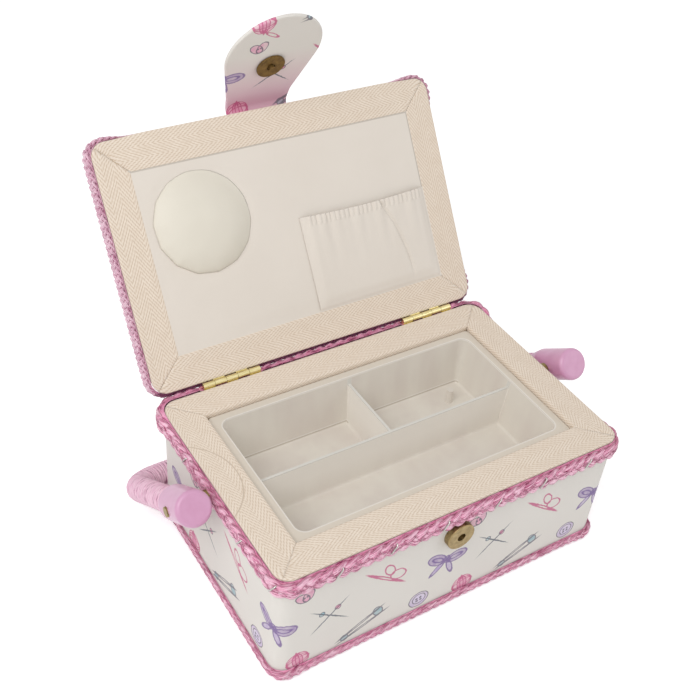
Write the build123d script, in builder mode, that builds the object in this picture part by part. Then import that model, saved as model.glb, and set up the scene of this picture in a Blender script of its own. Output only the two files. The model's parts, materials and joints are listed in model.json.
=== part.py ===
"""Fabric-covered sewing carrier: a lidded box with a lift-out tray, a snap tab and a bail handle.

The origin is the middle of the base, on the surface the box stands on. +X runs along the box,
+Y points to the hinges and +Z is up. The lid stands open, the tab hangs over in its own bend and
the handle lies down behind the box.
"""

import os
from math import cos, radians, sin

from build123d import *

# Body
body_w = 230.0  # fabric to fabric, along X
body_d = 147.0  # fabric to fabric, along Y
rim_top = 85.0  # top of the taped rim
corner_r = 9.0  # outer corner of the covered body
cover_t = 0.8  # printed cotton with its glue
board_t = 4.0  # wall panels
bottom_t = 3.0
frame_t = 4.0  # rim frame under the tape
floor_pad_t = 1.8
lining_t = 0.5
lining_gap = 0.1  # cut-to-fit gap of linings and floor pad
side_lining_top = 71.5

# Cotton tape frames
tape_t = 0.6
tape_band = 20.0  # visible width of the tape
tape_skirt = 0.9  # how far the tape turns over the outer edge
mitre_gap = 0.2

# Braids
braid_t = 3.5
rim_braid_h = 11.6
base_braid_h = 6.0
base_braid_z = 0.5
edge_gap = 0.1  # between the skirt of the tape and the cover below it

# Lid
lid_overhang = 2.0  # the lid is this much deeper than the body
lid_gap = 1.0  # between the two tapes when closed
lid_open = 123.7  # degrees from closed
lid_board_t = 4.0
lid_h = 17.8  # tape face to padded top
lid_top_r = 8.0
lid_braid_t = 3.0
lid_braid_low = 1.0  # above the tape face
lid_braid_high = 12.5
lid_braid_back_low = 3.9  # raised along the hinges, so that it clears the rim braid when open
lid_lining_t = 0.4

# Hinges
hinge_out = 2.3  # hinge axis behind the body
hinge_x = (-67.0, 77.0)
hinge_len = 38.0
knuckle_r = 1.9
leaf_t = 0.8
leaf_reach = 15.8
knuckle_count = 5
knuckle_gap = 0.2
barrel_gap = 0.4
pin_d = 1.8
pin_clearance = 0.05
hinge_screw_d = 2.0
hinge_screw_len = 3.4
hinge_screw_pitch = 24.0
hinge_screw_back = 9.0  # from the hinge axis

# Pin cushion and pocket on the lid lining
cushion_d = 62.0
cushion_h = 11.0
cushion_from_side = 55.0  # from the body's left side to the middle of the cushion
cushion_from_hinge_edge = 92.0
pocket_from_side = 21.0  # from the body's right side
pocket_w = 92.0
pocket_low = 20.5  # from the hinge edge of the lid
pocket_high = 80.0
pocket_depth = 2.8
pocket_skin = 0.8
elastic_w = 5.0
elastic_t = 0.8

# Snap and tab
snap_x = -2.0
snap_z = 62.5
snap_d = 18.0
socket_t = 4.0
socket_hole_d = 5.4
socket_hole_depth = 3.0
stem_d = 4.0
washer_d = 14.0
washer_t = 1.0
tab_t = 2.2
tab_skin = 0.5
tab_clearance = 0.6  # between the tab and the lid braid when folded down
tab_root_h = 13.0  # root of the tab above the tape face
tab_root_w = 41.0
tab_neck_w = 44.0
tab_head_r = 31.0
tab_head_past_snap = 10.5
tab_link_len = 9.0
tab_slot = 0.3  # gap on each side of a fold
tab_root_bend = 53.0
tab_mid_bend = 8.0
tab_tip_past_snap = 12.0  # where the stiffener ends and the soft tip begins
anchor_leg = 10.0
anchor_leg_t = 1.0
card_inset = 2.0
tab_plate_t = 1.0
tab_plate_base = 0.3
tab_plate_hole_d = 5.6
tab_post_d = 3.6
tab_post_h = 2.3
tab_backing_d = 12.0
tab_backing_t = 0.5

# Tray
tray_gap = 0.7  # flange to tape
tray_flange_t = 1.2
tray_seat_gap = 0.3
tray_depth = 35.5  # flange top to underside
tray_wall = 1.2
tray_floor = 1.4
tray_flange = 3.8  # flange width outside the tray wall
tray_draft = 7.0
tray_flange_r = 2.5
tray_corner_r = 7.5
tray_fillet = 2.0
divider_t = 1.6  # at the top edge
divider_draft = 1.5
divider_drop = 5.5  # below the flange
peg_d = 5.0
peg_h = 10.0
peg_draft = 1.5
peg_at = (69.0, 30.0)
ledge_lip = 2.8  # ledge under the flange
ledge_t = 4.0
ledge_end = 10.0  # short of the body on each side

# Handle
pivot_y = 3.0
pivot_z = 76.5
cap_side_gap = 3.15  # between a cap and the braids
grip_gap = 1.302  # between the lying grip and the base braid
handle_bend_r = 24.0
handle_rest = -37.5  # degrees from level, behind the box
wrap_d = 16.0
core_d = 12.0
core_gap = 0.05
cap_d = 20.7
cap_front = 17.0  # ahead of the bolt
cap_back = 12.0  # straight part behind the bolt
cap_taper = 6.0
cap_mouth_d = 17.6
cap_edge_r = 2.5
cap_bore_gap = 0.1
cap_bore_start = 7.0
bolt_d = 4.0
bolt_clearance = 0.1
bolt_head_d = 6.0
bolt_head_t = 1.2
bolt_head_sink = 0.6
nut_af = 7.0
nut_t = 3.2
nut_gap = 0.3
spacer_d = 8.0
spacer_cap_gap = 0.3
spacer_braid_gap = 0.2

# Values that follow
lid_d = body_d + lid_overhang
hinge_y = body_d / 2 + hinge_out
arm_x = body_w / 2 + braid_t + cap_side_gap + cap_d / 2  # centreline of each arm
handle_drop = cos(radians(handle_rest))
handle_reach = (body_d / 2 + braid_t + grip_gap + wrap_d / 2 - pivot_y) / handle_drop
inner_w = body_w - 2 * cover_t
inner_d = body_d - 2 * cover_t
inner_r = corner_r - cover_t
room_w = inner_w - 2 * board_t
room_d = inner_d - 2 * board_t
post_x = inner_w / 2 - inner_r
post_y = inner_d / 2 - inner_r
bottom_z = cover_t
wall_z = bottom_z + bottom_t
frame_top = rim_top - tape_t
frame_z = frame_top - frame_t
opening_w = body_w - 2 * tape_band
opening_d = body_d - 2 * tape_band
cover_top = frame_top - tape_skirt - edge_gap
hinge_z = rim_top + lid_gap / 2
lid_face = lid_gap / 2
lid_board_z = lid_face + tape_t
lid_cover_z = lid_board_z + tape_skirt + edge_gap
lid_top = lid_face + lid_h
lid_yc = (body_d - lid_d) / 2 - hinge_y
lid_back = lid_yc + lid_d / 2
lid_front = lid_yc - lid_d / 2
lid_opening_d = lid_d - 2 * tape_band
tab_inner_y = lid_front - lid_braid_t - tab_clearance
tab_root_z = lid_face + tab_root_h
snap_along = tab_root_z + hinge_z - snap_z - tab_link_len
tip_fold = snap_along + tab_tip_past_snap
cushion_x = cushion_from_side - body_w / 2
pocket_mid_x = body_w / 2 - pocket_from_side - pocket_w / 2
flange_z = frame_z + tray_seat_gap
flange_w = opening_w - 2 * tray_gap
flange_d = opening_d - 2 * tray_gap
tray_top_w = flange_w - 2 * tray_flange
tray_top_d = flange_d - 2 * tray_flange
cap_r = cap_d / 2

os.makedirs("parts", exist_ok=True)


def save(sub, name):
    """Label a finished sub-part and write its STEP file."""
    sub.part.label = name
    export_step(sub.part, f"parts/{name}.step")


def side_plane(base, x):
    """The plane across X at x: its own x is the base's y and its own y is the base's z."""
    return Plane(origin=base.origin + base.x_dir * x, x_dir=base.y_dir, z_dir=base.x_dir)


def folded(base, y, z, angle):
    """The base plane moved to (y, z) of its own and turned about its x by the angle."""
    turn_y, turn_z = cos(radians(angle)), sin(radians(angle))
    return Plane(
        origin=base.origin + base.y_dir * y + base.z_dir * z,
        x_dir=base.x_dir,
        z_dir=base.z_dir * turn_y - base.y_dir * turn_z,
    )


hinge_plane = Plane(origin=(0, hinge_y, hinge_z))
lid_plane = folded(hinge_plane, 0, 0, -lid_open)
lid_under = Plane(origin=lid_plane.origin, x_dir=lid_plane.x_dir, z_dir=-lid_plane.z_dir)
link_plane = folded(lid_plane, tab_inner_y, tab_root_z, tab_root_bend)
tab_plane = folded(link_plane, -tab_link_len, 0, tab_mid_bend)


def ring(plane, y_mid, width, depth, radius, inset):
    """A rounded band on the plane, as a sketch to extrude."""
    with BuildSketch(plane) as band:
        with Locations((0, y_mid)):
            RectangleRounded(width, depth, radius)
            RectangleRounded(width - 2 * inset, depth - 2 * inset, radius - inset, mode=Mode.SUBTRACT)
    return band.sketch


# ---- Box: base, walls and posts
with BuildPart() as base_cover:
    with BuildSketch(Plane.XY):
        RectangleRounded(body_w, body_d, corner_r)
    extrude(amount=cover_t)
save(base_cover, "base_cover")

with BuildPart() as bottom_board:
    with BuildSketch(Plane.XY.offset(bottom_z)):
        RectangleRounded(inner_w, inner_d, inner_r)
    extrude(amount=bottom_t)
save(bottom_board, "bottom_board")

wall_h = frame_z - wall_z
snap_plane = Plane(origin=(snap_x, -body_d / 2, snap_z), x_dir=(1, 0, 0), z_dir=(0, -1, 0))

with BuildPart() as front_board:
    with BuildSketch(Plane.XY.offset(wall_z)):
        with Locations((0, -(inner_d - board_t) / 2)):
            Rectangle(2 * post_x, board_t)
    extrude(amount=wall_h)
    with BuildSketch(snap_plane):
        Circle(stem_d / 2)
    extrude(amount=-2 * board_t, mode=Mode.SUBTRACT)
    with BuildSketch(snap_plane.offset(-cover_t - board_t)):
        Circle(washer_d / 2)
    extrude(amount=washer_t, mode=Mode.SUBTRACT)
save(front_board, "front_board")

with BuildPart() as back_board:
    with BuildSketch(Plane.XY.offset(wall_z)):
        with Locations((0, (inner_d - board_t) / 2)):
            Rectangle(2 * post_x, board_t)
    extrude(amount=wall_h)
save(back_board, "back_board")

bolt_line = Plane(origin=(0, pivot_y, pivot_z), x_dir=(0, 1, 0), z_dir=(1, 0, 0))
for side, name in ((-1, "left_board"), (1, "right_board")):
    with BuildPart() as side_board:
        with BuildSketch(Plane.XY.offset(wall_z)):
            with Locations((side * (inner_w - board_t) / 2, 0)):
                Rectangle(board_t, 2 * post_y)
        extrude(amount=wall_h)
        with BuildSketch(bolt_line):
            Circle(bolt_d / 2 + bolt_clearance)
        extrude(amount=side * body_w, mode=Mode.SUBTRACT)
    save(side_board, name)

with BuildPart() as corner_posts:
    with BuildSketch(Plane.XY.offset(wall_z)):
        with GridLocations(2 * post_x, 2 * post_y, 2, 2):
            Circle(inner_r)
        Rectangle(2 * post_x, inner_d, mode=Mode.SUBTRACT)
        Rectangle(inner_w, 2 * post_y, mode=Mode.SUBTRACT)
    extrude(amount=wall_h)
save(corner_posts, "corner_posts")

# ---- Box: rim frame, with the pockets of the hinge leaves and their screw holes
screw_x = [x + side * hinge_screw_pitch / 2 for x in hinge_x for side in (-1, 1)]
screw_spots = [(x, hinge_y - hinge_screw_back) for x in screw_x]
leaf_plate_back = -knuckle_r - barrel_gap
leaf_mid = (leaf_plate_back - leaf_reach) / 2

with BuildPart() as rim_frame:
    with BuildSketch(Plane.XY.offset(frame_z)):
        RectangleRounded(inner_w, inner_d, inner_r)
        Rectangle(opening_w + 2 * tape_t, opening_d + 2 * tape_t, mode=Mode.SUBTRACT)
    extrude(amount=frame_t)
    with BuildSketch(Plane.XY.offset(frame_top)):
        for x in hinge_x:
            with Locations((x, hinge_y - leaf_reach / 2)):
                Rectangle(hinge_len, leaf_reach)
    extrude(amount=-leaf_t, mode=Mode.SUBTRACT)
    with BuildSketch(Plane.XY.offset(frame_top)):
        with Locations(*screw_spots):
            Circle(hinge_screw_d / 2)
    extrude(amount=-hinge_screw_len, mode=Mode.SUBTRACT)
save(rim_frame, "rim_frame")


def tape_frame(plane, y_mid, depth, notch_y, turn_in):
    """Four mitred strips of tape on the plane, turned over the outer edge and by turn_in at the opening.

    The plane's z points away from the board. Notches at notch_y leave room for the hinge leaves.
    """
    hole_w, hole_d = opening_w, depth - 2 * tape_band
    with BuildPart() as tape:
        with BuildSketch(plane):
            with Locations((0, y_mid)):
                RectangleRounded(body_w, depth, corner_r)
                Rectangle(hole_w, hole_d, mode=Mode.SUBTRACT)
        extrude(amount=tape_t)
        with BuildSketch(plane):
            with Locations((0, y_mid)):
                RectangleRounded(body_w, depth, corner_r)
                RectangleRounded(inner_w, depth - 2 * cover_t, inner_r, mode=Mode.SUBTRACT)
        extrude(amount=-tape_skirt)
        if turn_in:
            with BuildSketch(plane):
                with Locations((0, y_mid)):
                    Rectangle(hole_w + 2 * tape_t, hole_d + 2 * tape_t)
                    Rectangle(hole_w, hole_d, mode=Mode.SUBTRACT)
            extrude(amount=-turn_in)
        with BuildSketch(plane):
            with Locations(*[(x, notch_y) for x in hinge_x]):
                Rectangle(hinge_len + 2 * barrel_gap, 2 * (tape_skirt + cover_t))
        extrude(amount=-2 * tape_skirt, mode=Mode.SUBTRACT)
        with BuildSketch(plane.offset(-2 * frame_t)):
            for corner_x in (-1, 1):
                for corner_y in (-1, 1):
                    mitre_x = corner_x * (body_w - tape_band) / 2
                    mitre_y = y_mid + corner_y * (depth - tape_band) / 2
                    with Locations(Location((mitre_x, mitre_y, 0), 45 * corner_x * corner_y)):
                        Rectangle(3 * tape_band, mitre_gap)
        extrude(amount=4 * frame_t, mode=Mode.SUBTRACT)
    return tape


rim_tape = tape_frame(Plane.XY.offset(frame_top), 0, body_d, body_d / 2, frame_t)
save(rim_tape, "rim_tape")

# ---- Box: fabric, linings and ledges
with BuildPart() as outer_cover:
    cover_ring = ring(Plane.XY.offset(cover_t), 0, body_w, body_d, corner_r, cover_t)
    extrude(cover_ring, amount=cover_top - cover_t)
    with BuildSketch(snap_plane.offset(cover_t)):
        Circle(stem_d / 2)
    extrude(amount=-3 * cover_t, mode=Mode.SUBTRACT)
    with BuildSketch(bolt_line):
        Circle(bolt_d / 2 + bolt_clearance)
    extrude(amount=body_w, both=True, mode=Mode.SUBTRACT)
save(outer_cover, "outer_cover")

lining_z = wall_z + floor_pad_t
with BuildPart() as wall_lining:
    with BuildSketch(Plane.XY.offset(lining_z)):
        for side in (-1, 1):
            with Locations((0, side * (room_d - lining_t) / 2)):
                Rectangle(2 * (post_x - lining_gap), lining_t)
    extrude(amount=frame_z - ledge_t - lining_z)
    with BuildSketch(Plane.XY.offset(lining_z)):
        for side in (-1, 1):
            with Locations((side * (room_w - lining_t) / 2, 0)):
                Rectangle(lining_t, 2 * (post_y - lining_gap))
    extrude(amount=side_lining_top - lining_z)
save(wall_lining, "wall_lining")

with BuildPart() as floor_pad:
    with BuildSketch(Plane.XY.offset(wall_z)):
        Rectangle(room_w - 2 * lining_gap, 2 * (post_y - lining_gap))
        Rectangle(2 * (post_x - lining_gap), room_d - 2 * lining_gap)
    extrude(amount=floor_pad_t)
save(floor_pad, "floor_pad")

ledge_inner = flange_d / 2 - ledge_lip
with BuildPart() as tray_ledges:
    with BuildSketch(Plane.XY.offset(frame_z - ledge_t)):
        for side in (-1, 1):
            with Locations((0, side * (ledge_inner + room_d / 2) / 2)):
                Rectangle(body_w - 2 * ledge_end - 2 * board_t, room_d / 2 - ledge_inner)
    extrude(amount=ledge_t)
save(tray_ledges, "tray_ledges")

# ---- Box: braids
braid_w, braid_d, braid_r = body_w + 2 * braid_t, body_d + 2 * braid_t, corner_r + braid_t
with BuildPart() as rim_braid:
    rim_braid_low = Plane.XY.offset(cover_top - rim_braid_h)
    extrude(ring(rim_braid_low, 0, braid_w, braid_d, braid_r, braid_t), amount=rim_braid_h)
    with BuildSketch(bolt_line):
        Circle(spacer_d / 2 + spacer_braid_gap)
    extrude(amount=body_w, both=True, mode=Mode.SUBTRACT)
save(rim_braid, "rim_braid")

with BuildPart() as base_braid:
    base_braid_low = Plane.XY.offset(base_braid_z)
    extrude(ring(base_braid_low, 0, braid_w, braid_d, braid_r, braid_t), amount=base_braid_h)
save(base_braid, "base_braid")

# ---- Box: front half of the snap
with BuildPart() as front_snap:
    with BuildSketch(snap_plane):
        Circle(snap_d / 2)
    extrude(amount=socket_t)
    fillet(front_snap.faces().sort_by(Axis.Y)[0].edges(), 0.6)
    with BuildSketch(snap_plane.offset(socket_t)):
        Circle(socket_hole_d / 2)
    extrude(amount=-socket_hole_depth, mode=Mode.SUBTRACT)
    with BuildSketch(snap_plane):
        Circle(stem_d / 2)
    extrude(amount=-cover_t - board_t)
save(front_snap, "front_snap")

with BuildPart() as front_snap_backing:
    with BuildSketch(snap_plane.offset(-cover_t - board_t)):
        Circle(washer_d / 2)
        Circle(stem_d / 2, mode=Mode.SUBTRACT)
    extrude(amount=washer_t)
save(front_snap_backing, "front_snap_backing")

# ---- Hinges
knuckle_len = (hinge_len - (knuckle_count - 1) * knuckle_gap) / knuckle_count


def hinge_leaves(base, side, first):
    """Both leaves of one side: side is 1 above the axis and -1 below, first is its first knuckle."""
    with BuildPart() as leaves:
        for x in hinge_x:
            with BuildSketch(side_plane(base, x - hinge_len / 2)):
                with Locations((leaf_mid, side * (knuckle_r - leaf_t / 2))):
                    Rectangle(leaf_reach + leaf_plate_back, leaf_t)
            extrude(amount=hinge_len)
            for step in range(first, knuckle_count, 2):
                start = x - hinge_len / 2 + step * (knuckle_len + knuckle_gap)
                with BuildSketch(side_plane(base, start)):
                    Circle(knuckle_r)
                    with Locations((leaf_plate_back / 2, side * (knuckle_r - leaf_t / 2))):
                        Rectangle(-leaf_plate_back, leaf_t)
                    Circle(pin_d / 2 + pin_clearance, mode=Mode.SUBTRACT)
                extrude(amount=knuckle_len)
        screw_plane = base.offset(side * knuckle_r)
        with BuildSketch(screw_plane):
            for x, y in screw_spots:
                with Locations((x, y - hinge_y)):
                    Circle(hinge_screw_d / 2)
        extrude(amount=-side * leaf_t, mode=Mode.SUBTRACT)
    return leaves


def hinge_screws(base, side):
    """The screws of one side, flush with the leaf and driven away from the axis."""
    with BuildPart() as screws:
        with BuildSketch(base.offset(side * (knuckle_r - leaf_t))):
            for x, y in screw_spots:
                with Locations((x, y - hinge_y)):
                    Circle(hinge_screw_d / 2)
        extrude(amount=side * hinge_screw_len)
    return screws


save(hinge_leaves(hinge_plane, -1, 0), "body_hinge_leaves")
save(hinge_leaves(lid_plane, 1, 1), "lid_hinge_leaves")
save(hinge_screws(hinge_plane, -1), "body_hinge_screws")
save(hinge_screws(lid_plane, 1), "lid_hinge_screws")

with BuildPart() as hinge_pins:
    for x in hinge_x:
        with BuildSketch(side_plane(hinge_plane, x - hinge_len / 2)):
            Circle(pin_d / 2)
        extrude(amount=hinge_len)
save(hinge_pins, "hinge_pins")

# ---- Lid: board, padding, cover and tape
lid_inner_d = lid_d - 2 * cover_t
with BuildPart() as lid_board:
    with BuildSketch(lid_plane.offset(lid_board_z)):
        with Locations((0, lid_yc)):
            RectangleRounded(inner_w, lid_inner_d, inner_r)
    extrude(amount=lid_board_t)
    with BuildSketch(lid_plane.offset(lid_board_z)):
        for x in hinge_x:
            with Locations((x, -leaf_reach / 2)):
                Rectangle(hinge_len, leaf_reach)
    extrude(amount=leaf_t, mode=Mode.SUBTRACT)
    with BuildSketch(lid_plane.offset(lid_board_z)):
        for x, y in screw_spots:
            with Locations((x, y - hinge_y)):
                Circle(hinge_screw_d / 2)
    extrude(amount=hinge_screw_len, mode=Mode.SUBTRACT)
save(lid_board, "lid_board")

padding_z = lid_board_z + lid_board_t
with BuildPart() as lid_padding:
    with BuildSketch(lid_plane.offset(padding_z)):
        with Locations((0, lid_yc)):
            RectangleRounded(inner_w, lid_inner_d, inner_r)
    extrude(amount=lid_top - cover_t - padding_z)
    top_face = lid_padding.faces().sort_by(Axis(lid_plane.origin, lid_plane.z_dir))[-1]
    fillet(top_face.edges(), lid_top_r - cover_t)
save(lid_padding, "lid_padding")

with BuildPart() as lid_cover:
    with BuildSketch(lid_plane.offset(lid_cover_z)):
        with Locations((0, lid_yc)):
            RectangleRounded(body_w, lid_d, corner_r)
    extrude(amount=lid_top - lid_cover_z)
    top_face = lid_cover.faces().sort_by(Axis(lid_plane.origin, lid_plane.z_dir))[-1]
    fillet(top_face.edges(), lid_top_r)
    with BuildSketch(lid_plane.offset(lid_cover_z)):
        with Locations((0, lid_yc)):
            RectangleRounded(inner_w, lid_inner_d, inner_r)
    extrude(amount=padding_z - lid_cover_z, mode=Mode.SUBTRACT)
    add(lid_padding.part, mode=Mode.SUBTRACT)
save(lid_cover, "lid_cover")

lid_tape = tape_frame(lid_under.offset(-lid_board_z), -lid_yc, lid_d, -lid_back, 0)
save(lid_tape, "lid_tape")

with BuildPart() as lid_lining:
    with BuildSketch(lid_plane.offset(lid_board_z - lid_lining_t)):
        with Locations((0, lid_yc)):
            Rectangle(opening_w - 2 * lining_gap, lid_opening_d - 2 * lining_gap)
    extrude(amount=lid_lining_t)
save(lid_lining, "lid_lining")

# ---- Lid: edge braid, raised along the hinges and let in behind for the sewn end of the tab
lid_braid_w, lid_braid_d = body_w + 2 * lid_braid_t, lid_d + 2 * lid_braid_t
lid_braid_h = lid_braid_high - lid_braid_low
with BuildPart() as lid_braid:
    lid_low = lid_plane.offset(lid_face + lid_braid_low)
    lid_ring = ring(lid_low, lid_yc, lid_braid_w, lid_braid_d, corner_r + lid_braid_t, lid_braid_t)
    extrude(lid_ring, amount=lid_braid_h)
    with BuildSketch(lid_plane.offset(lid_face + lid_braid_back_low)):
        with Locations((0, lid_back + lid_braid_t / 2)):
            Rectangle(body_w + 3 * lid_braid_t, lid_braid_t + corner_r)
    extrude(amount=lid_braid_low - lid_braid_back_low, mode=Mode.SUBTRACT)
    with BuildSketch(lid_plane.offset(tab_root_z - anchor_leg)):
        with Locations((snap_x, lid_front - anchor_leg_t / 2)):
            Rectangle(tab_root_w, anchor_leg_t)
    extrude(amount=anchor_leg, mode=Mode.SUBTRACT)
save(lid_braid, "lid_braid")

# ---- Lid: pin cushion and pocket
lining_face = lid_board_z - lid_lining_t
cushion_y = lid_back - cushion_from_hinge_edge
ball_r = ((cushion_d / 2) ** 2 + cushion_h**2) / (2 * cushion_h)
with BuildPart() as pin_cushion:
    with BuildSketch(side_plane(lid_plane, cushion_x)) as dome_half:
        with Locations((cushion_y, lining_face - cushion_h + ball_r)):
            Circle(ball_r)
        with Locations((cushion_y, lining_face + ball_r)):
            Rectangle(2 * ball_r, 2 * ball_r, mode=Mode.SUBTRACT)
        with Locations((cushion_y - ball_r, lining_face)):
            Rectangle(2 * ball_r, 4 * ball_r, mode=Mode.SUBTRACT)
    dome_foot = side_plane(lid_plane, cushion_x).from_local_coords(Vector(cushion_y, 0, 0))
    revolve(axis=Axis(dome_foot, lid_plane.z_dir))
save(pin_cushion, "pin_cushion")

pocket_d = pocket_high - pocket_low
pocket_yc = lid_back - (pocket_low + pocket_high) / 2
with BuildPart() as pocket:
    with BuildSketch(lid_plane.offset(lining_face)):
        with Locations((pocket_mid_x, pocket_yc)):
            Rectangle(pocket_w, pocket_d)
    extrude(amount=-pocket_depth)
    with BuildSketch(lid_plane.offset(lining_face)):
        with Locations((pocket_mid_x, pocket_yc - pocket_skin)):
            Rectangle(pocket_w - 2 * pocket_skin, pocket_d)
    extrude(amount=pocket_skin - pocket_depth, mode=Mode.SUBTRACT)
save(pocket, "pocket")

with BuildPart() as pocket_elastic:
    with BuildSketch(lid_plane.offset(lining_face - pocket_depth)):
        with Locations((pocket_mid_x, lid_back - pocket_high + elastic_w / 2)):
            Rectangle(pocket_w - 2 * pocket_skin, elastic_w)
    extrude(amount=-elastic_t)
save(pocket_elastic, "pocket_elastic")

# ---- Tab: sewn end on the lid, a short link, the stiffened head and its soft tip
with BuildPart() as tab_anchor:
    with BuildSketch(side_plane(lid_plane, snap_x - tab_root_w / 2)):
        with Locations(((tab_inner_y + tab_slot + lid_front) / 2, tab_root_z + tab_t / 2)):
            Rectangle(lid_front - tab_inner_y - tab_slot, tab_t)
        with Locations((lid_front - anchor_leg_t / 2, tab_root_z + (tab_t - anchor_leg) / 2)):
            Rectangle(anchor_leg_t, tab_t + anchor_leg)
    extrude(amount=tab_root_w)
save(tab_anchor, "tab_anchor")

with BuildPart() as tab_link:
    with BuildSketch(link_plane):
        with BuildLine():
            Polyline(
                (snap_x - tab_root_w / 2, -tab_slot),
                (snap_x - tab_neck_w / 2, tab_slot - tab_link_len),
                (snap_x + tab_neck_w / 2, tab_slot - tab_link_len),
                (snap_x + tab_root_w / 2, -tab_slot),
                close=True,
            )
        make_face()
    extrude(amount=tab_t)
save(tab_link, "tab_link")


def tab_outline(plane, inset):
    """The head of the tab: straight sides that run into a round end."""
    with BuildSketch(plane) as outline:
        with BuildLine():
            neck_y = -tab_slot - inset
            neck_half = tab_neck_w / 2 - inset
            Line((snap_x - neck_half, neck_y), (snap_x + neck_half, neck_y))
            CenterArc((snap_x, -snap_along - tab_head_past_snap), tab_head_r - inset, 0, 360)
        make_hull()
    return outline.sketch


def tab_beyond(plane, along):
    """Everything of the tab that lies further than this from the head's fold."""
    with BuildSketch(plane) as beyond:
        with Locations((snap_x, -along - tab_head_r)):
            Rectangle(3 * tab_head_r, 2 * tab_head_r)
    return beyond.sketch


with BuildPart() as card_blank:
    extrude(tab_outline(tab_plane.offset(tab_skin), card_inset), amount=tab_t - 2 * tab_skin)
    extrude(tab_beyond(tab_plane, tip_fold - card_inset), amount=tab_t, mode=Mode.SUBTRACT)

with BuildPart() as tab_card:
    add(card_blank.part)
    with BuildSketch(tab_plane.offset(tab_t - tab_skin)):
        with Locations((snap_x, -snap_along)):
            Circle(tab_backing_d / 2)
    extrude(amount=-tab_backing_t, mode=Mode.SUBTRACT)
save(tab_card, "tab_card")

with BuildPart() as tab_snap_backing:
    with BuildSketch(tab_plane.offset(tab_t - tab_skin)):
        with Locations((snap_x, -snap_along)):
            Circle(tab_backing_d / 2)
    extrude(amount=-tab_backing_t)
save(tab_snap_backing, "tab_snap_backing")

with BuildPart() as tab_cover:
    extrude(tab_outline(tab_plane, 0), amount=tab_t)
    extrude(tab_beyond(tab_plane, tip_fold - tab_slot), amount=tab_t, mode=Mode.SUBTRACT)
    add(card_blank.part, mode=Mode.SUBTRACT)
save(tab_cover, "tab_cover")

with BuildPart() as tab_tip:
    extrude(tab_outline(tab_plane, 0), amount=tab_t)
    extrude(tab_beyond(tab_plane, tip_fold + tab_slot), amount=tab_t, mode=Mode.INTERSECT)
save(tab_tip, "tab_tip")

with BuildPart() as tab_snap:
    with BuildSketch(tab_plane):
        with Locations((snap_x, -snap_along)):
            Circle(snap_d / 2)
    extrude(amount=-tab_plate_t)
    with BuildSketch(tab_plane.offset(-tab_plate_base)):
        with Locations((snap_x, -snap_along)):
            Circle(tab_plate_hole_d / 2)
    extrude(amount=-tab_plate_t, mode=Mode.SUBTRACT)
    with BuildSketch(tab_plane.offset(-tab_plate_base)):
        with Locations((snap_x, -snap_along)):
            Circle(tab_post_d / 2)
    extrude(amount=-tab_post_h)
save(tab_snap, "tab_snap")

# ---- Tray: a moulded block with a flange, three pockets, lowered dividers and a bobbin peg
tray_down = Plane(origin=(0, 0, flange_z + tray_flange_t), x_dir=(1, 0, 0), z_dir=(0, 0, -1))
hollow_w = tray_top_w - 2 * tray_wall
hollow_d = tray_top_d - 2 * tray_wall
pocket_deep = tray_depth - tray_floor
with BuildPart() as tray_hollow:
    with BuildSketch(tray_down):
        RectangleRounded(hollow_w, hollow_d, tray_corner_r - tray_wall)
    extrude(amount=pocket_deep, taper=tray_draft)
    with BuildSketch(tray_down.offset(divider_drop)):
        Rectangle(hollow_w, divider_t)
        with Locations((0, -hollow_d / 4)):
            Rectangle(divider_t, hollow_d / 2)
    extrude(amount=pocket_deep - divider_drop, taper=-divider_draft, mode=Mode.SUBTRACT)
    fillet(tray_hollow.faces().group_by(Axis.Z)[0].edges(), tray_fillet)

with BuildPart() as tray:
    with BuildSketch(tray_down):
        RectangleRounded(tray_top_w, tray_top_d, tray_corner_r)
    extrude(amount=tray_depth, taper=tray_draft)
    with BuildSketch(tray_down):
        RectangleRounded(flange_w, flange_d, tray_flange_r)
    extrude(amount=tray_flange_t)
    add(tray_hollow.part, mode=Mode.SUBTRACT)
    with BuildSketch(Plane.XY.offset(flange_z + tray_flange_t - pocket_deep)):
        with Locations(peg_at):
            Circle(peg_d / 2)
    extrude(amount=peg_h, taper=peg_draft)
save(tray, "tray")

# ---- Handle: both arms run from the bolts down behind the box to the cross bar
arm_plane = Plane(
    origin=(0, pivot_y, pivot_z),
    x_dir=(1, 0, 0),
    z_dir=(0, -sin(radians(handle_rest)), cos(radians(handle_rest))),
)


def bail(outer_d, inner_d):
    """A round bar or tube bent to the handle's U, starting inside both caps."""
    with BuildPart() as bent:
        with BuildLine(arm_plane) as route:
            FilletPolyline(
                (-arm_x, cap_bore_start),
                (-arm_x, handle_reach),
                (arm_x, handle_reach),
                (arm_x, cap_bore_start),
                radius=handle_bend_r,
            )
        with BuildSketch(Plane(origin=route.line @ 0, z_dir=route.line % 0)):
            Circle(outer_d / 2)
            if inner_d:
                Circle(inner_d / 2, mode=Mode.SUBTRACT)
        sweep(path=route.line)
    return bent


save(bail(core_d, 0), "handle_core")
save(bail(wrap_d, core_d + 2 * core_gap), "handle_wrap")

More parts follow.
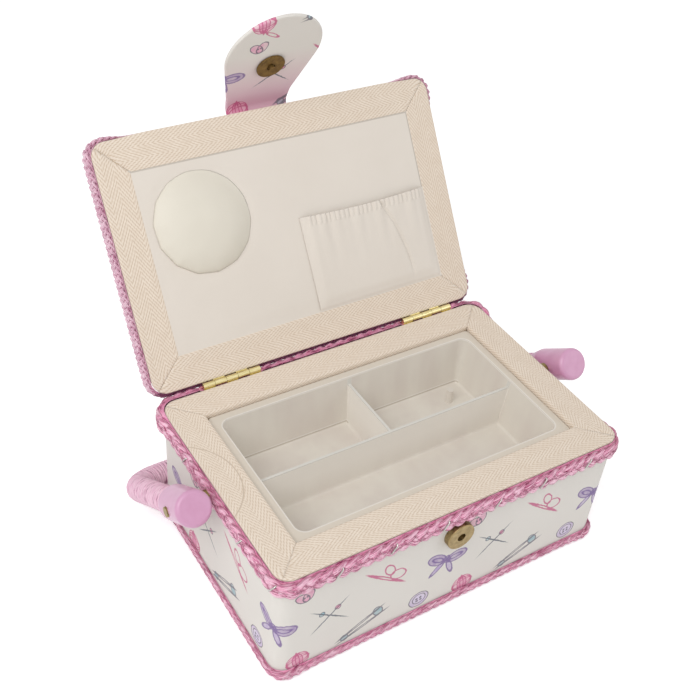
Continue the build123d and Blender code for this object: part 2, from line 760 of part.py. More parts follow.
for side, name in ((-1, "left_cap"), (1, "right_cap")):
    cap_start = Plane(
        origin=arm_plane.from_local_coords(Vector(side * arm_x, -cap_front, 0)),
        x_dir=(1, 0, 0),
        z_dir=arm_plane.y_dir,
    )
    with BuildPart() as cap:
        with BuildSketch(cap_start):
            Circle(cap_r)
        extrude(amount=cap_front + cap_back)
        fillet(cap.edges().sort_by(Axis(arm_plane.origin, arm_plane.y_dir))[0], cap_edge_r)
        with BuildSketch(cap_start.offset(cap_front + cap_back)):
            Circle(cap_r)
        with BuildSketch(cap_start.offset(cap_front + cap_back + cap_taper)):
            Circle(cap_mouth_d / 2)
        loft()
        with BuildSketch(cap_start.offset(cap_front + cap_bore_start)):
            Circle(wrap_d / 2 + cap_bore_gap)
        extrude(amount=cap_back + cap_taper, mode=Mode.SUBTRACT)
        with BuildSketch(bolt_line):
            Circle(bolt_d / 2 + bolt_clearance)
        extrude(amount=side * (arm_x + cap_d), mode=Mode.SUBTRACT)
        with BuildSketch(bolt_line.offset(side * (arm_x + cap_r - bolt_head_sink))):
            Circle(bolt_head_d / 2 + bolt_clearance)
        extrude(amount=side * bolt_head_t, mode=Mode.SUBTRACT)
    save(cap, name)

head_x = arm_x + cap_r - bolt_head_sink + bolt_clearance
nut_x = room_w / 2 - nut_gap
with BuildPart() as handle_bolts:
    for side in (-1, 1):
        with BuildSketch(bolt_line.offset(side * (nut_x - nut_t))):
            Circle(bolt_d / 2)
        extrude(amount=side * (head_x - nut_x + nut_t))
        with BuildSketch(bolt_line.offset(side * head_x)):
            Circle(bolt_head_d / 2)
        extrude(amount=side * bolt_head_t)
save(handle_bolts, "handle_bolts")

with BuildPart() as handle_nuts:
    for side in (-1, 1):
        with BuildSketch(bolt_line.offset(side * nut_x)):
            RegularPolygon(nut_af / 2, 6, major_radius=False)
            Circle(bolt_d / 2, mode=Mode.SUBTRACT)
        extrude(amount=-side * nut_t)
save(handle_nuts, "handle_nuts")

with BuildPart() as handle_spacers:
    for side in (-1, 1):
        with BuildSketch(bolt_line.offset(side * body_w / 2)):
            Circle(spacer_d / 2)
            Circle(bolt_d / 2 + bolt_clearance, mode=Mode.SUBTRACT)
        extrude(amount=side * (arm_x - cap_r - spacer_cap_gap - body_w / 2))
save(handle_spacers, "handle_spacers")
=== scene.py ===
import json
from functools import partial
from math import acos, copysign, cos, floor, hypot, pi, radians, sin, sqrt

import bmesh
import bpy
from mathutils import Matrix, Vector, noise


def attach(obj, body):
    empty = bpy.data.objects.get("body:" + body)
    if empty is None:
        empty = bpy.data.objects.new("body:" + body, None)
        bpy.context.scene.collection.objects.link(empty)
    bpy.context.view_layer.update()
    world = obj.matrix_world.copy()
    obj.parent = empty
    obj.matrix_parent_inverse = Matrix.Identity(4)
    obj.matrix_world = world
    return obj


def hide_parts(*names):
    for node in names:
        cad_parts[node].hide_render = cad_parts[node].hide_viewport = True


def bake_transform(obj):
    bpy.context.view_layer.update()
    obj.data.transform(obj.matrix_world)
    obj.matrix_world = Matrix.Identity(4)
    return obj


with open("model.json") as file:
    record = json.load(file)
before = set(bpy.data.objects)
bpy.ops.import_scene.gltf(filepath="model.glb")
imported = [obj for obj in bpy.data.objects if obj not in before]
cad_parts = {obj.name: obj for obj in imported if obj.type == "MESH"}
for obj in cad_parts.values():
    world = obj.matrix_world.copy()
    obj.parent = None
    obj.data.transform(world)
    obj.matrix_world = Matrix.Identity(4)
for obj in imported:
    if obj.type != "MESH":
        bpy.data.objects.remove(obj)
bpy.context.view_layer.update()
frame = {"nodes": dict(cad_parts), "record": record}
cadNodes = frame["nodes"]
scene = bpy.context.scene
print("frame loaded:", len(cadNodes), "nodes")

# Sizes the pieces share, in metres: the covered box, the closed lid in its own hinge frame
box = dict(width=0.230, depth=0.147, corner=0.009, top=0.085)
lid = dict(width=0.230, depth=0.149, corner=0.009, middle=-0.0768, face=0.0005, hinge=(0, 0.0758, 0.0855),
           open=radians(-123.7))
lidMatrix = Matrix.Translation(lid["hinge"]) @ Matrix.Rotation(lid["open"], 4, "X")
upright = Vector((0, 0, 1))
weld = dict(seam=1e-6, tip=2e-5)  # points nearer than this are joined, at seams and at pointed tips


# Small helpers

def smooth(value, start, end):
    t = min(max((value - start) / (end - start), 0), 1)
    return t * t * (3 - 2 * t)


def wander(x, y=0.0, z=0.0, size=0.01):  # soft seeded noise, -1 to 1, with lumps of this size
    return noise.noise(Vector((x / size, y / size, z / size + 7.3)))


def walkRound(outline, distance):
    # place and outward direction this far round a rounded oblong, from the middle of its back
    corner, depth = outline["corner"], outline["depth"]
    halfX, halfY, arc = outline["width"] / 2 - corner, depth / 2 - corner, corner * pi / 2
    left = distance % (4 * (halfX + halfY + arc))
    if left < halfX:
        return Vector((-left, depth / 2, 0)), Vector((0, 1, 0))
    left -= halfX
    centres = ((-halfX, halfY), (-halfX, -halfY), (halfX, -halfY), (halfX, halfY))
    for quarter, run in enumerate((2 * halfY, 2 * halfX, 2 * halfY, 2 * halfX)):
        centre = Vector((*centres[quarter], 0))
        start = pi / 2 * (quarter + 1)
        if left < arc:
            outward = Vector((cos(start + left / corner), sin(start + left / corner), 0))
            return centre + corner * outward, outward
        left -= arc
        outward = Vector((round(cos(start + pi / 2)), round(sin(start + pi / 2)), 0))
        if left < run:
            return centre + corner * outward + left * Vector((-outward.y, outward.x, 0)), outward
        left -= run
    return Vector((0, depth / 2, 0)), Vector((0, 1, 0))


def lengthRound(outline):
    return 2 * (outline["width"] + outline["depth"]) - 8 * outline["corner"] + 2 * pi * outline["corner"]


def facesOf(verts):
    return {face for vert in verts for face in vert.link_faces}


def addSheet(bm, grid, place, flip=False):
    # a flat grid bent by place(a, b), which gives each point and its cloth position in metres
    uvLayer = bm.loops.layers.uv.get("UVMap") or bm.loops.layers.uv.new("UVMap")
    verts = bmesh.ops.create_grid(bm, x_segments=grid[0], y_segments=grid[1], size=1)["verts"]
    clothAt = {}
    for vert in verts:
        vert.co, clothAt[vert] = place((vert.co.x + 1) / 2, (vert.co.y + 1) / 2)
    faces = facesOf(verts)
    for face in faces:
        for loop in face.loops:
            loop[uvLayer].uv = clothAt[loop.vert]
    if flip:
        bmesh.ops.reverse_faces(bm, faces=list(faces))
    return verts


def addBlock(bm, width, depth, low, high, corner, segments):
    # a block with its upright edges rounded
    middle = Matrix.Translation((0, 0, low + (high - low) / 2))
    bmesh.ops.create_cube(bm, size=1, matrix=middle @ Matrix.Diagonal((width, depth, high - low, 1)))
    corners = [e for e in bm.edges if abs(e.verts[0].co.z - e.verts[1].co.z) > 1e-5]
    bmesh.ops.bevel(bm, geom=corners, offset=corner, segments=segments, profile=0.5, affect="EDGES",
                    material=-1)


def addObject(name, data):
    thing = bpy.data.objects.new(name, data)
    scene.collection.objects.link(thing)
    return thing


def makePiece(name, bm, material, matrix=None):
    mesh = bpy.data.meshes.new(name)
    bm.to_mesh(mesh)
    bm.free()
    if matrix:
        mesh.transform(matrix)
    mesh.materials.append(material)
    mesh.shade_smooth()
    return addObject(name, mesh)


def refinish(mesh, material):  # for a baked mesh, since clearing puts every face on the first slot
    mesh.materials.clear()
    mesh.materials.append(material)
    mesh.shade_smooth()


def bakedMesh(piece):
    bpy.context.view_layer.update()
    return bpy.data.meshes.new_from_object(piece.evaluated_get(bpy.context.evaluated_depsgraph_get()))


def applyModifiers(piece):
    mesh = bakedMesh(piece)
    piece.modifiers.clear()
    piece.data = mesh
    return piece


def giveThickness(piece, thickness):
    shell = piece.modifiers.new("thickness", "SOLIDIFY")
    shell.thickness, shell.offset, shell.use_even_offset = thickness, -1, True
    return applyModifiers(piece)


def makeCloth(name, setting, place, material, thickness, flip=False, matrix=None):
    # one sheet with its two ends joined where they meet
    bm = bmesh.new()
    addSheet(bm, setting["grid"], place, flip)
    bmesh.ops.remove_doubles(bm, verts=bm.verts, dist=weld["seam"])
    return giveThickness(makePiece(name, bm, material, matrix), thickness)


def settle(piece, body, slot, *replaced):
    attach(piece, body)
    if replaced:
        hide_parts(*replaced)
    return piece


# Materials

def colour(hexText):  # sRGB hex to linear
    parts = [int(hexText[i:i + 2], 16) / 255 for i in (1, 3, 5)]
    return (*(p / 12.92 if p <= 0.04045 else ((p + 0.055) / 1.055) ** 2.4 for p in parts), 1)


def addNode(tree, kind, settings, *inputs):
    # settings go by name, and a word alone is the operation; inputs go in order to the sockets in use.
    # An input is a node, a socket, a value, a hex colour, or None to leave the socket as it is
    node = tree.nodes.new("ShaderNode" + kind)
    if isinstance(settings, str):
        settings = {"operation": settings}
    elif kind == "Mix":
        settings = {"data_type": "RGBA"}
    given = []
    for key, value in settings.items():
        if key in node.bl_rna.properties:
            setattr(node, key, value)
        else:
            given.append((node.inputs[key], value))
    given += zip([s for s in node.inputs if s.enabled], inputs)
    for socket, value in given:
        if isinstance(value, bpy.types.Node):
            value = next(s for s in value.outputs if s.enabled)
        if isinstance(value, bpy.types.NodeSocket):
            tree.links.new(value, socket)
        elif value is not None:
            socket.default_value = colour(value) if isinstance(value, str) else value
    return node


def startMaterial(name, space="UV"):
    # the material, what adds a node to it, and where on the piece the pattern is
    material = bpy.data.materials.new(name)
    material.use_nodes = True
    material.node_tree.nodes.clear()
    add = partial(addNode, material.node_tree)
    return material, add, space and add("TexCoord", {}).outputs[space]


def finishMaterial(material, tone, shader, relief=None):
    # relief is what raises it, how strongly, and how deep it is in metres
    add = partial(addNode, material.node_tree)
    surface = {"Base Color": tone, **shader}
    if relief:
        surface["Normal"] = add("Bump", dict(zip(("Height", "Strength", "Distance"), relief)))
    add("OutputMaterial", {}, add("BsdfPrincipled", surface))
    return material


def mirrored(x, y, halfX, halfY, turn, *fill):
    return (-x, y, halfX, halfY, -turn, *fill), (x, y, halfX, halfY, turn, *fill)


# Printed cotton: plain-weave calico, printed with outlined haberdashery. Each motif is a list of
# ovals in millimetres: x, y, half width, half height, turn, and the colour that fills it, if any.
cottonPrint = dict(ground="#E6E2DB", shade="#DAD5CF", ink=0.27, cell=(0.151, 0.101), size=0.74,
                   wobble=0.0004, braidBounceTint="#DFBCC8", braidBounce=(0.014, 0.060))
printMotifs = dict(
    button=dict(at=(17, 20), turn=10, line="#6B6470", ovals=[
        (0, 0, 9, 8.4, 0, "#C9B8D8"), (0.4, 0.5, 6, 5.6, 0, "#DCD2E6"),
        *mirrored(1.8, 1.4, 0.8, 0.8, 0, "#6B6470"), *mirrored(1.8, -1.6, 0.8, 0.8, 0, "#6B6470")]),
    yarn=dict(at=(60, 14), turn=-20, line="#C45C86", ovals=[
        (0, 0, 9.5, 9.5, 0, "#EBB4C8"), (0, 0, 9.3, 3.4, 35), (0, 0, 9.3, 6.4, 35),
        (0, 0, 9.2, 4.4, 120, "#DE8FB0"), (0, 0, 9.2, 1.6, 120), (14, -8.6, 6.5, 1.6, -10)]),
    safetyPin=dict(at=(115, 22), turn=28, grow=1.3, line="#77737C", ovals=[
        (0, 2.2, 12, 0.8, 0), (0, -2, 12, 0.7, -6), (-12.4, 0.8, 2.5, 2.5, 0, "#8FB3BD"),
        (12.4, 0.4, 3.1, 4, 0, "#8FB3BD")]),
    bow=dict(at=(38, 56), turn=-12, grow=1.35, line="#7D6699", ovals=[
        *mirrored(4.5, -6.5, 6, 1.7, -58, "#B7A3CC"), *mirrored(7.2, 1.4, 7, 4.2, 18, "#A68FB8"),
        *mirrored(6.4, 1.2, 4.4, 1.6, 18), (0, 0.4, 2.1, 2.7, 0, "#8E76A8")]),
    pins=dict(at=(85, 53), turn=5, line="#5F6570", ovals=[
        (0, 0, 8.5, 0.3, 38), (0, 0, 8.5, 0.3, -42), (6.9, 5.4, 2.4, 2.4, 0, "#DE7FA4"),
        (-6.5, 5.8, 2.3, 2.3, 0, "#8FB3BD")]),
    needle=dict(at=(132, 67), turn=-38, grow=1.45, line="#C45C86", ovals=[
        (0, 0, 11, 0.8, 0), (8.2, 0, 1.6, 0.3, 0), (6.5, 4.2, 5, 3.6, 15), (-1.8, 5.6, 4.6, 2.6, -25)]),
    heart=dict(at=(63, 87), turn=16, line="#6B6470", ovals=[
        *mirrored(2.5, 1, 6.4, 4.2, 52, "#E3A3BE"), *mirrored(1.5, 0.6, 0.8, 0.8, 0, "#6B6470")]),
)


def makePrintedCotton(name, braidBounce):
    material, add, at = startMaterial(name)
    shiver = add("TexNoise", {"Scale": 450.0, "Detail": 2.0}, at).outputs["Color"]
    shiver = add("VectorMath", "SUBTRACT", shiver, (0.5, 0.5, 0.5))
    shiver = add("VectorMath", "MULTIPLY", shiver, (cottonPrint["wobble"] * 2, cottonPrint["wobble"] * 2, 0))
    drawn = add("VectorMath", "ADD", at, shiver)
    drawn = add("VectorMath", "SCALE", drawn, 1 / cottonPrint["size"])
    wash = add("TexNoise", {"Scale": 210.0, "Detail": 3.0}, at)  # brushed colour, patches of 5 mm
    wash = add("MapRange", {}, wash, 0.3, 0.7, 0.35, 1.0)
    # the ground mixed toward its darker tone in broad random patches
    mottle = add("TexNoise", {"Scale": 9.0, "Detail": 2.0}, at)
    cloth = add("Mix", {}, mottle, cottonPrint["ground"], cottonPrint["shade"])
    if braidBounce:  # painted pink light bounced from the braid onto the tab's root
        low = add("SeparateXYZ", {}, at)
        low = add("MapRange", {}, low.outputs[1], *cottonPrint["braidBounce"], 1.0, 0.0)
        cloth = add("Mix", {}, low, cloth, cottonPrint["braidBounceTint"])
    cellX, cellY = cottonPrint["cell"]
    for motif in printMotifs.values():
        x, y = motif["at"]
        moved = add("VectorMath", "SUBTRACT", drawn, (x / 1000, y / 1000, 0))
        moved = add("VectorMath", "WRAP", moved, (cellX / 2, cellY / 2, 1), (-cellX / 2, -cellY / 2, -1))
        unit = 0.001 * motif.get("grow", 1)
        moved = add("Mapping", {"vector_type": "TEXTURE", "Rotation": (0, 0, radians(motif["turn"])),
                                "Scale": (unit, unit, unit)}, moved)
        line = None
        for ovalX, ovalY, halfX, halfY, turn, *fill in motif["ovals"]:
            small = min(halfX, halfY)
            spot = add("Mapping", {"vector_type": "TEXTURE", "Location": (ovalX, ovalY, 0),
                                   "Rotation": (0, 0, radians(turn)), "Scale": (halfX, halfY, 1)}, moved)
            reach = add("VectorMath", "LENGTH", spot)
            inside = add("Math", "MULTIPLY_ADD", reach, small, -small)
            if fill:
                tint = add("MapRange", {}, inside, -0.5, 0.1, 1.0, 0.0)
                tint = add("Math", "MULTIPLY", tint, wash)
                cloth = add("Mix", {}, tint, cloth, fill[0])
            edge = add("Math", "ABSOLUTE", inside)
            line = add("Math", "MINIMUM", line, edge) if line else edge
        ink = add("MapRange", {}, line, cottonPrint["ink"], cottonPrint["ink"] * 1.9, 0.88, 0.0)
        cloth = add("Mix", {}, ink, cloth, motif["line"])
    threads = add("Mapping", {"Scale": (9000, 9000, 1)}, at)  # 0.7 mm, coarser than the real 0.3 mm
    warp = add("SeparateXYZ", {}, add("VectorMath", "SINE", threads))
    weave = add("Math", "MULTIPLY", warp.outputs[0], warp.outputs[1])
    lumps = add("TexNoise", {"Scale": 60.0, "Detail": 2.0}, at)
    height = add("Math", "MULTIPLY_ADD", weave, 0.12, lumps)
    shader = {"Roughness": 0.72, "Sheen Weight": 0.12, "Sheen Roughness": 0.4, "Specular IOR Level": 0.3}
    return finishMaterial(material, cloth, shader, (height, 0.25, 0.0008))


# Herringbone tape: soft cotton twill, chevrons 6.6 mm wide, ribs 1.5 mm apart (real ribs are 0.9 mm)
tapeWeave = dict(chevron=0.0066, rib=0.0031, slope=0.58, bead=0.0011, light="#E9DCCD", dark="#CBB7A1",
                 shade="#A08A72", fold=(-0.1335, 0.0055, 0.085), foldRadius=0.0342, foldWidth=0.0005)


def makeHerringboneTape():
    material, add, at = startMaterial("herringboneCotton")
    loose = add("TexNoise", {"Scale": 160.0, "Detail": 2.0}, at)
    parts = add("SeparateXYZ", {}, at)
    across = add("Math", "PINGPONG", parts.outputs[1], tapeWeave["chevron"])
    slanted = add("Math", "MULTIPLY_ADD", across, 1 / tapeWeave["slope"], parts.outputs[0])
    turns = add("Math", "MULTIPLY", slanted, 2 * pi / tapeWeave["rib"])
    turns = add("Math", "MULTIPLY_ADD", loose, 3.0, turns)
    rib = add("Math", "SINE", turns)
    beads = add("Math", "MULTIPLY", parts.outputs[1], 2 * pi / tapeWeave["bead"])  # stitches along a rib
    beaded = add("Math", "MULTIPLY_ADD", add("Math", "SINE", beads), 0.55, rib)
    level = add("MapRange", {}, beaded, -1.5, 0.3, 0.0, 1.0)
    patch = add("MapRange", {}, loose, 0.25, 0.75, 0.75, 1.0)
    level = add("Math", "MULTIPLY", level, patch)
    tone = add("Mix", {}, level, tapeWeave["dark"], tapeWeave["light"])
    # painted shade along a soft fold in the rim tape, a ring round a point beyond its left end
    ring = add("VectorMath", "SUBTRACT", add("TexCoord", {}).outputs["Object"], tapeWeave["fold"])
    ring = add("Math", "SUBTRACT", add("VectorMath", "LENGTH", ring), tapeWeave["foldRadius"])
    ring = add("Math", "ABSOLUTE", ring)
    crease = add("MapRange", {}, ring, tapeWeave["foldWidth"] * 0.4, tapeWeave["foldWidth"], 0.6, 0.0)
    crease = add("Math", "MULTIPLY", crease, level)  # painted shade of a soft fold, broken up by the ribs
    tone = add("Mix", {}, crease, tone, tapeWeave["shade"])
    shader = {"Roughness": 0.85, "Sheen Weight": 0.2, "Sheen Roughness": 0.5, "Specular IOR Level": 0.2}
    return finishMaterial(material, tone, shader, (level, 0.35, 0.0003))


# Polyester satin: smooth float weave with a soft shine, cream
def makeSatin(name, light, dark, roughness, seam=None):
    material, add, at = startMaterial(name)
    clouds = add("TexNoise", {"Scale": 18.0, "Detail": 3.0}, at)
    tone = add("Mix", {}, clouds, light, dark)
    if seam:  # shade in the gap under the tape's loose edges
        parts = add("SeparateXYZ", {}, at)
        right = add("Math", "SUBTRACT", seam["right"], parts.outputs[0])
        front = add("Math", "SUBTRACT", parts.outputs[1], seam["front"])
        inwards = add("Math", "MINIMUM", right, front)
        shade = add("MapRange", {}, inwards, 0.0002, 0.0006, 0.45, 0.0)
        tone = add("Mix", {}, shade, tone, seam["tone"])
    stretched = add("Mapping", {"Scale": (120, 900, 1)}, at)  # floats lie along the cloth
    floats = add("TexNoise", {"Scale": 1.0, "Detail": 3.0}, stretched)
    creases = add("TexNoise", {"Scale": 40.0, "Detail": 4.0, "Roughness": 0.45}, at)
    height = add("Math", "MULTIPLY_ADD", floats, 0.06, creases)
    shader = {"Roughness": roughness, "Sheen Weight": 0.15, "Sheen Roughness": 0.35,
              "Specular IOR Level": 0.4, "Anisotropic": 0.3}
    return finishMaterial(material, tone, shader, (height, 0.35, 0.0012))


# Raffia: dyed viscose ribbon, split into fine strips that shine along their length
girth = 0.015  # what once round a strand counts on its UV map


def makeRaffia(name, dark, middle, light, strip, shine, edge=0.8):
    material, add, at = startMaterial(name)
    drawn = add("Mapping", {"Scale": (110, 1 / strip, 1)}, at)
    strips = add("TexNoise", {"Scale": 1.0, "Detail": 3.0, "Roughness": 0.65}, drawn)
    shades = add("ValToRGB", {}, strips)
    stops = shades.color_ramp.elements
    for i, (place, shade) in enumerate(((0.41, dark), (0.46, middle), (0.56, light), (0.68, middle))):
        stop = stops[i] if i < len(stops) else stops.new(place)
        stop.position, stop.color = place, colour(shade)
    patches = add("TexNoise", {"Scale": 190.0, "Detail": 2.0}, at)
    fade = add("MapRange", {}, patches, 0.5, 0.68, 0.0, 0.7)
    tone = add("Mix", {}, fade, shades, light)
    # painted shade at the strand edges, as strong as edge
    turn = add("Math", "MULTIPLY", add("SeparateXYZ", {}, at).outputs[1], 2 * pi / girth)
    turn = add("Math", "ABSOLUTE", add("Math", "SINE", turn))
    turn = add("Math", "MULTIPLY_ADD", patches, -0.3, turn)
    shade = add("MapRange", {}, turn, 0.55, 0.85, 0.0, edge)  # painted shade where strands pass under each other
    tone = add("Mix", {}, shade, tone, dark)
    shader = {"Roughness": shine, "Specular IOR Level": 0.55, "Sheen Weight": 0.1, "Anisotropic": 0.4}
    return finishMaterial(material, tone, shader, (strips, 1.0, 0.0006))


# Twisted paper cord: dull, its grooves in shade, with the paper's creases along it
def makePaperCord(name, dark, middle, light):
    material, add, at = startMaterial(name)
    drawn = add("Mapping", {"Scale": (260, 900, 1)}, at)
    creases = add("TexNoise", {"Scale": 1.0, "Detail": 3.0, "Roughness": 0.6}, drawn)
    spread = add("MapRange", {}, creases, 0.35, 0.65, 0.0, 1.0)
    tone = add("Mix", {}, spread, middle, light)
    groove = add("Attribute", {"attribute_name": "groove"}).outputs["Fac"]
    groove = add("Math", "MULTIPLY_ADD", creases, 0.3, groove)
    patches = add("TexNoise", {"Scale": 130.0, "Detail": 2.0}, at)  # the painted groove shade wider here, narrower there
    groove = add("Math", "MULTIPLY_ADD", patches, 0.7, groove)
    # painted shade in the grooves, by how deep each point lies
    shade = add("MapRange", {}, groove, 1.14, 1.38, 0.95, 0.0)
    tone = add("Mix", {}, shade, tone, dark)
    shader = {"Roughness": 0.55, "Specular IOR Level": 0.4}
    return finishMaterial(material, tone, shader, (creases, 0.6, 0.0004))


# Everything whose pattern is only grain
def makeGrained(name, light, dark, grain, shader, depth=0.0003, strength=0.3):
    material, add, at = startMaterial(name, "Object")
    drawn = add("Mapping", {"Scale": tuple(1 / g for g in grain)}, at)
    speckle = add("TexNoise", {"Scale": 1.0, "Detail": 3.0, "Roughness": 0.55}, drawn)
    spread = add("MapRange", {}, speckle, 0.3, 0.7, 0.0, 1.0)
    tone = add("Mix", {}, spread, light, dark)
    return finishMaterial(material, tone, shader, (speckle, strength, depth))


printedCotton = makePrintedCotton("printedCottonCalico", False)
# the tab's cotton, with painted pink bounce light from the braid at its root
tabCotton = makePrintedCotton("printedCottonTab", True)
herringboneTape = makeHerringboneTape()
satinCream = makeSatin("polyesterSatin", "#E1D9CF", "#D8CFC4", 0.5)
# the lid's lining, with a painted shade line along the tape's inner edges
liningSatin = makeSatin("liningSatin", "#E1D9CF", "#D8CFC4", 0.5,
                        {"right": 0.095, "front": -0.1313, "tone": "#8F8476"})
cushionSatin = makeSatin("pinCushionSatin", "#E2DCCF", "#D6D0C2", 0.55)
raffiaPink = makeRaffia("viscoseRaffia", "#99365F", "#E682AD", "#FBD2E2", 0.0007, 0.36, 0.52)
# a darker copy in painted shade, for the rim and base braids' backing sheets
raffiaShade = makeRaffia("raffiaPaintedShade", "#8E365E", "#DC7DA6", "#EFACC8", 0.0007, 0.5, 0.4)
braidLilac = makeRaffia("knittedViscoseBraid", "#A8587F", "#E8AEC6", "#F6D4E1", 0.0007, 0.42, 0.35)
# the lid braid's copy in painted shade, for its back under the tape and its backing there
braidShade = makeRaffia("braidPaintedShade", "#6A2C4C", "#93496F", "#BC6F98", 0.0007, 0.6)
paperCord = makePaperCord("twistedPaperCord", "#7E2F58", "#E2ADC7", "#F4D5E2")
# Polypropylene: frosted, lets light through; this is painted: thin edges painted paler and the walls given a
# little emission glow
trayTone = dict(light="#C7C1B7", dark="#C1B9B0", thin="#D1CDC7", rim="#C0BDB6", glow="#D5D0C8",
                flange="#C1B8AB", bend="#9D9384", through=0.20)
trayShape = dict(innerCorner=(0.083, 0.0415, 1), inner=0.0063, dividerHalf=0.0014, dividerTop=0.0758,
                 flangeLow=0.0804, wallBack=0.041, bendAt=0.0496, blend=0.0005)


def makeFrostedTray():
    material, add, at = startMaterial("frostedPolypropylene", "Object")
    x, y, z = add("SeparateXYZ", {}, at).outputs
    drawn = add("Mapping", {"Scale": (60, 60, 14)}, at)  # clouds, longer down the walls
    clouds = add("TexNoise", {"Scale": 1.0, "Detail": 2.0}, drawn)
    clouds = add("MapRange", {}, clouds, 0.35, 0.65, 0.0, 1.0)
    tone = add("Mix", {}, clouds, trayTone["light"], trayTone["dark"])
    # how far from the nearest divider: the long one, or the short one behind it
    cross = add("Math", "MAXIMUM", add("Math", "ABSOLUTE", x), add("Math", "MULTIPLY", y, -1.0))
    divider = add("Math", "MINIMUM", cross, add("Math", "ABSOLUTE", y))
    # painted glow on and near the dividers, as light comes through them
    near = add("MapRange", {}, divider, 0.0011, 0.0018, 0.8, 0.0)
    tone = add("Mix", {}, near, tone, trayTone["glow"])
    # the dividers' top edges in a greyer tone
    onTop = add("Math", "LESS_THAN", divider, trayShape["dividerHalf"])
    edge = add("Math", "MULTIPLY", onTop, add("Math", "GREATER_THAN", z, trayShape["dividerTop"]))
    tone = add("Mix", {}, edge, tone, trayTone["rim"])
    wallBack, flangeLow, blend = trayShape["wallBack"], trayShape["flangeLow"], trayShape["blend"]
    # painted light and painted shade in two bands along the floor's bend, at the back
    back = add("MapRange", {}, y, wallBack, wallBack + blend, 0.0, 1.0)
    for height, shade in ((trayShape["bendAt"], "thin"), (trayShape["bendAt"] - 0.0008, "bend")):
        band = add("Math", "ABSOLUTE", add("Math", "SUBTRACT", z, height))
        band = add("MapRange", {}, band, 0.0002, blend, 0.7, 0.0)
        tone = add("Mix", {}, add("Math", "MULTIPLY", band, back), tone, trayTone[shade])
    # the flange in painted shade, as dark as the tape's shadow
    flange = add("MapRange", {}, z, flangeLow, flangeLow + blend, 0.0, 1.0)
    tone = add("Mix", {}, flange, tone, trayTone["flange"])
    # painted pale edge round the flange's inner lip, where light comes through the thin plastic
    lip = add("VectorMath", "SUBTRACT", add("VectorMath", "ABSOLUTE", at), trayShape["innerCorner"])
    lip = add("VectorMath", "LENGTH", add("VectorMath", "MAXIMUM", lip, (0, 0, 0)))
    lip = add("MapRange", {}, lip, trayShape["inner"] + 0.0004, trayShape["inner"] + 0.0009, 0.7, 0.0)
    tone = add("Mix", {}, add("Math", "MULTIPLY", lip, flange), tone, trayTone["thin"])
    # the emission is a painted glow: the tray's tone shines a little though no lamp is inside
    return finishMaterial(material, tone, {"Roughness": 0.42, "IOR": 1.49, "Emission Color": tone,
                                           "Emission Strength": trayTone["through"]})


# What has only grain: name, two tones, grain along X, Y and Z in metres, shader, depth and strength
grained = {
    # pressed wood fibre, raw edges, matt
    "board": ("fibreboard", "#CDB48D", "#B99C72", (0.004, 0.001, 0.001), {"Roughness": 0.85}),
    # pressed paper pulp, dull and grey
    "card_stiffener": ("greyCard", "#CFC6B6", "#BFB4A2", (0.0008, 0.0008, 0.0008), {"Roughness": 0.9}),
    # thin plain weave, matt, never seen from near
    "storage_lining": ("storageCotton", "#DDD5C9", "#CFC6B8", (0.0012, 0.0006, 0.0006),
                       {"Roughness": 0.85, "Sheen Weight": 0.15}),
    # knitted rubber band, matt
    "elastic": ("knittedElastic", "#EBE5DA", "#DDD5C8", (0.0008, 0.004, 0.0008), {"Roughness": 0.8}),
    # rolled, tumbled and lacquered, fine scratches
    "brass_plate": ("lacqueredBrass", "#F2E6B6", "#D6C68A", (0.004, 0.0006, 0.0006),
                    {"Metallic": 1.0, "Roughness": 0.24}, 0.00005, 0.2),
    # pressed sheet with a brown patina in blotches, darker and duller on the tab's half of the snap
    "antique_brass": ("antiqueBrass", "#A6926A", "#806E49", (0.003, 0.003, 0.003),
                      {"Metallic": 1.0, "Roughness": 0.42}, 0.00008, 0.25),
    "tab_snap": ("brownedBrass", "#8A6F3E", "#6B5430", (0.0025, 0.0025, 0.0025),
                 {"Metallic": 0.85, "Roughness": 0.5}, 0.00008, 0.25),
    # turned brass gone dull
    "handle_bolts": ("agedBrass", "#A08E5C", "#7F7048", (0.002, 0.002, 0.002),
                     {"Metallic": 1.0, "Roughness": 0.4}, 0.00005, 0.2),
    # wire and stamped sheet, zinc plated, faintly spangled
    "steel": ("zincPlatedSteel", "#C2C1BC", "#A9A7A1", (0.0015, 0.0015, 0.0015),
              {"Metallic": 1.0, "Roughness": 0.36}, 0.00005, 0.2),
    # injection moulded ABS, glossy, with the faintest orange peel
    "cap_gloss": ("glossAbs", "#D19DBD", "#CB95B5", (0.006, 0.006, 0.006),
                  {"Roughness": 0.34, "IOR": 1.5, "Coat Weight": 0.15, "Coat Roughness": 0.15}, 0.0001, 0.05),
    # beech bar, painted dark like the cord's groove shade so that it doesn't show in the grooves
    "core_tube": ("beechBarPaintedShade", "#96476E", "#7E3A5B", (0.0008, 0.0008, 0.012), {"Roughness": 0.7}),
}
# CAD nodes that stay get their finish by their own name or by slot
finishes = {key: makeGrained(*row) for key, row in grained.items()}
finishes.update({"printed_cotton": printedCotton, "satin_lining": satinCream, "cotton_tape": herringboneTape,
                 "raffia_braid": raffiaPink, "lilac_braid": braidLilac, "paper_cord": paperCord,
                 "tray_plastic": makeFrostedTray(), "foam": finishes["card_stiffener"],
                 "handle_spacers": finishes["handle_bolts"]})
for row in frame["record"]["subparts"]:
    slots = cadNodes[row["node"]].data.materials
    slots.clear()
    slots.append(finishes.get(row["node"]) or finishes[row["material_slot"]])
print("materials made")

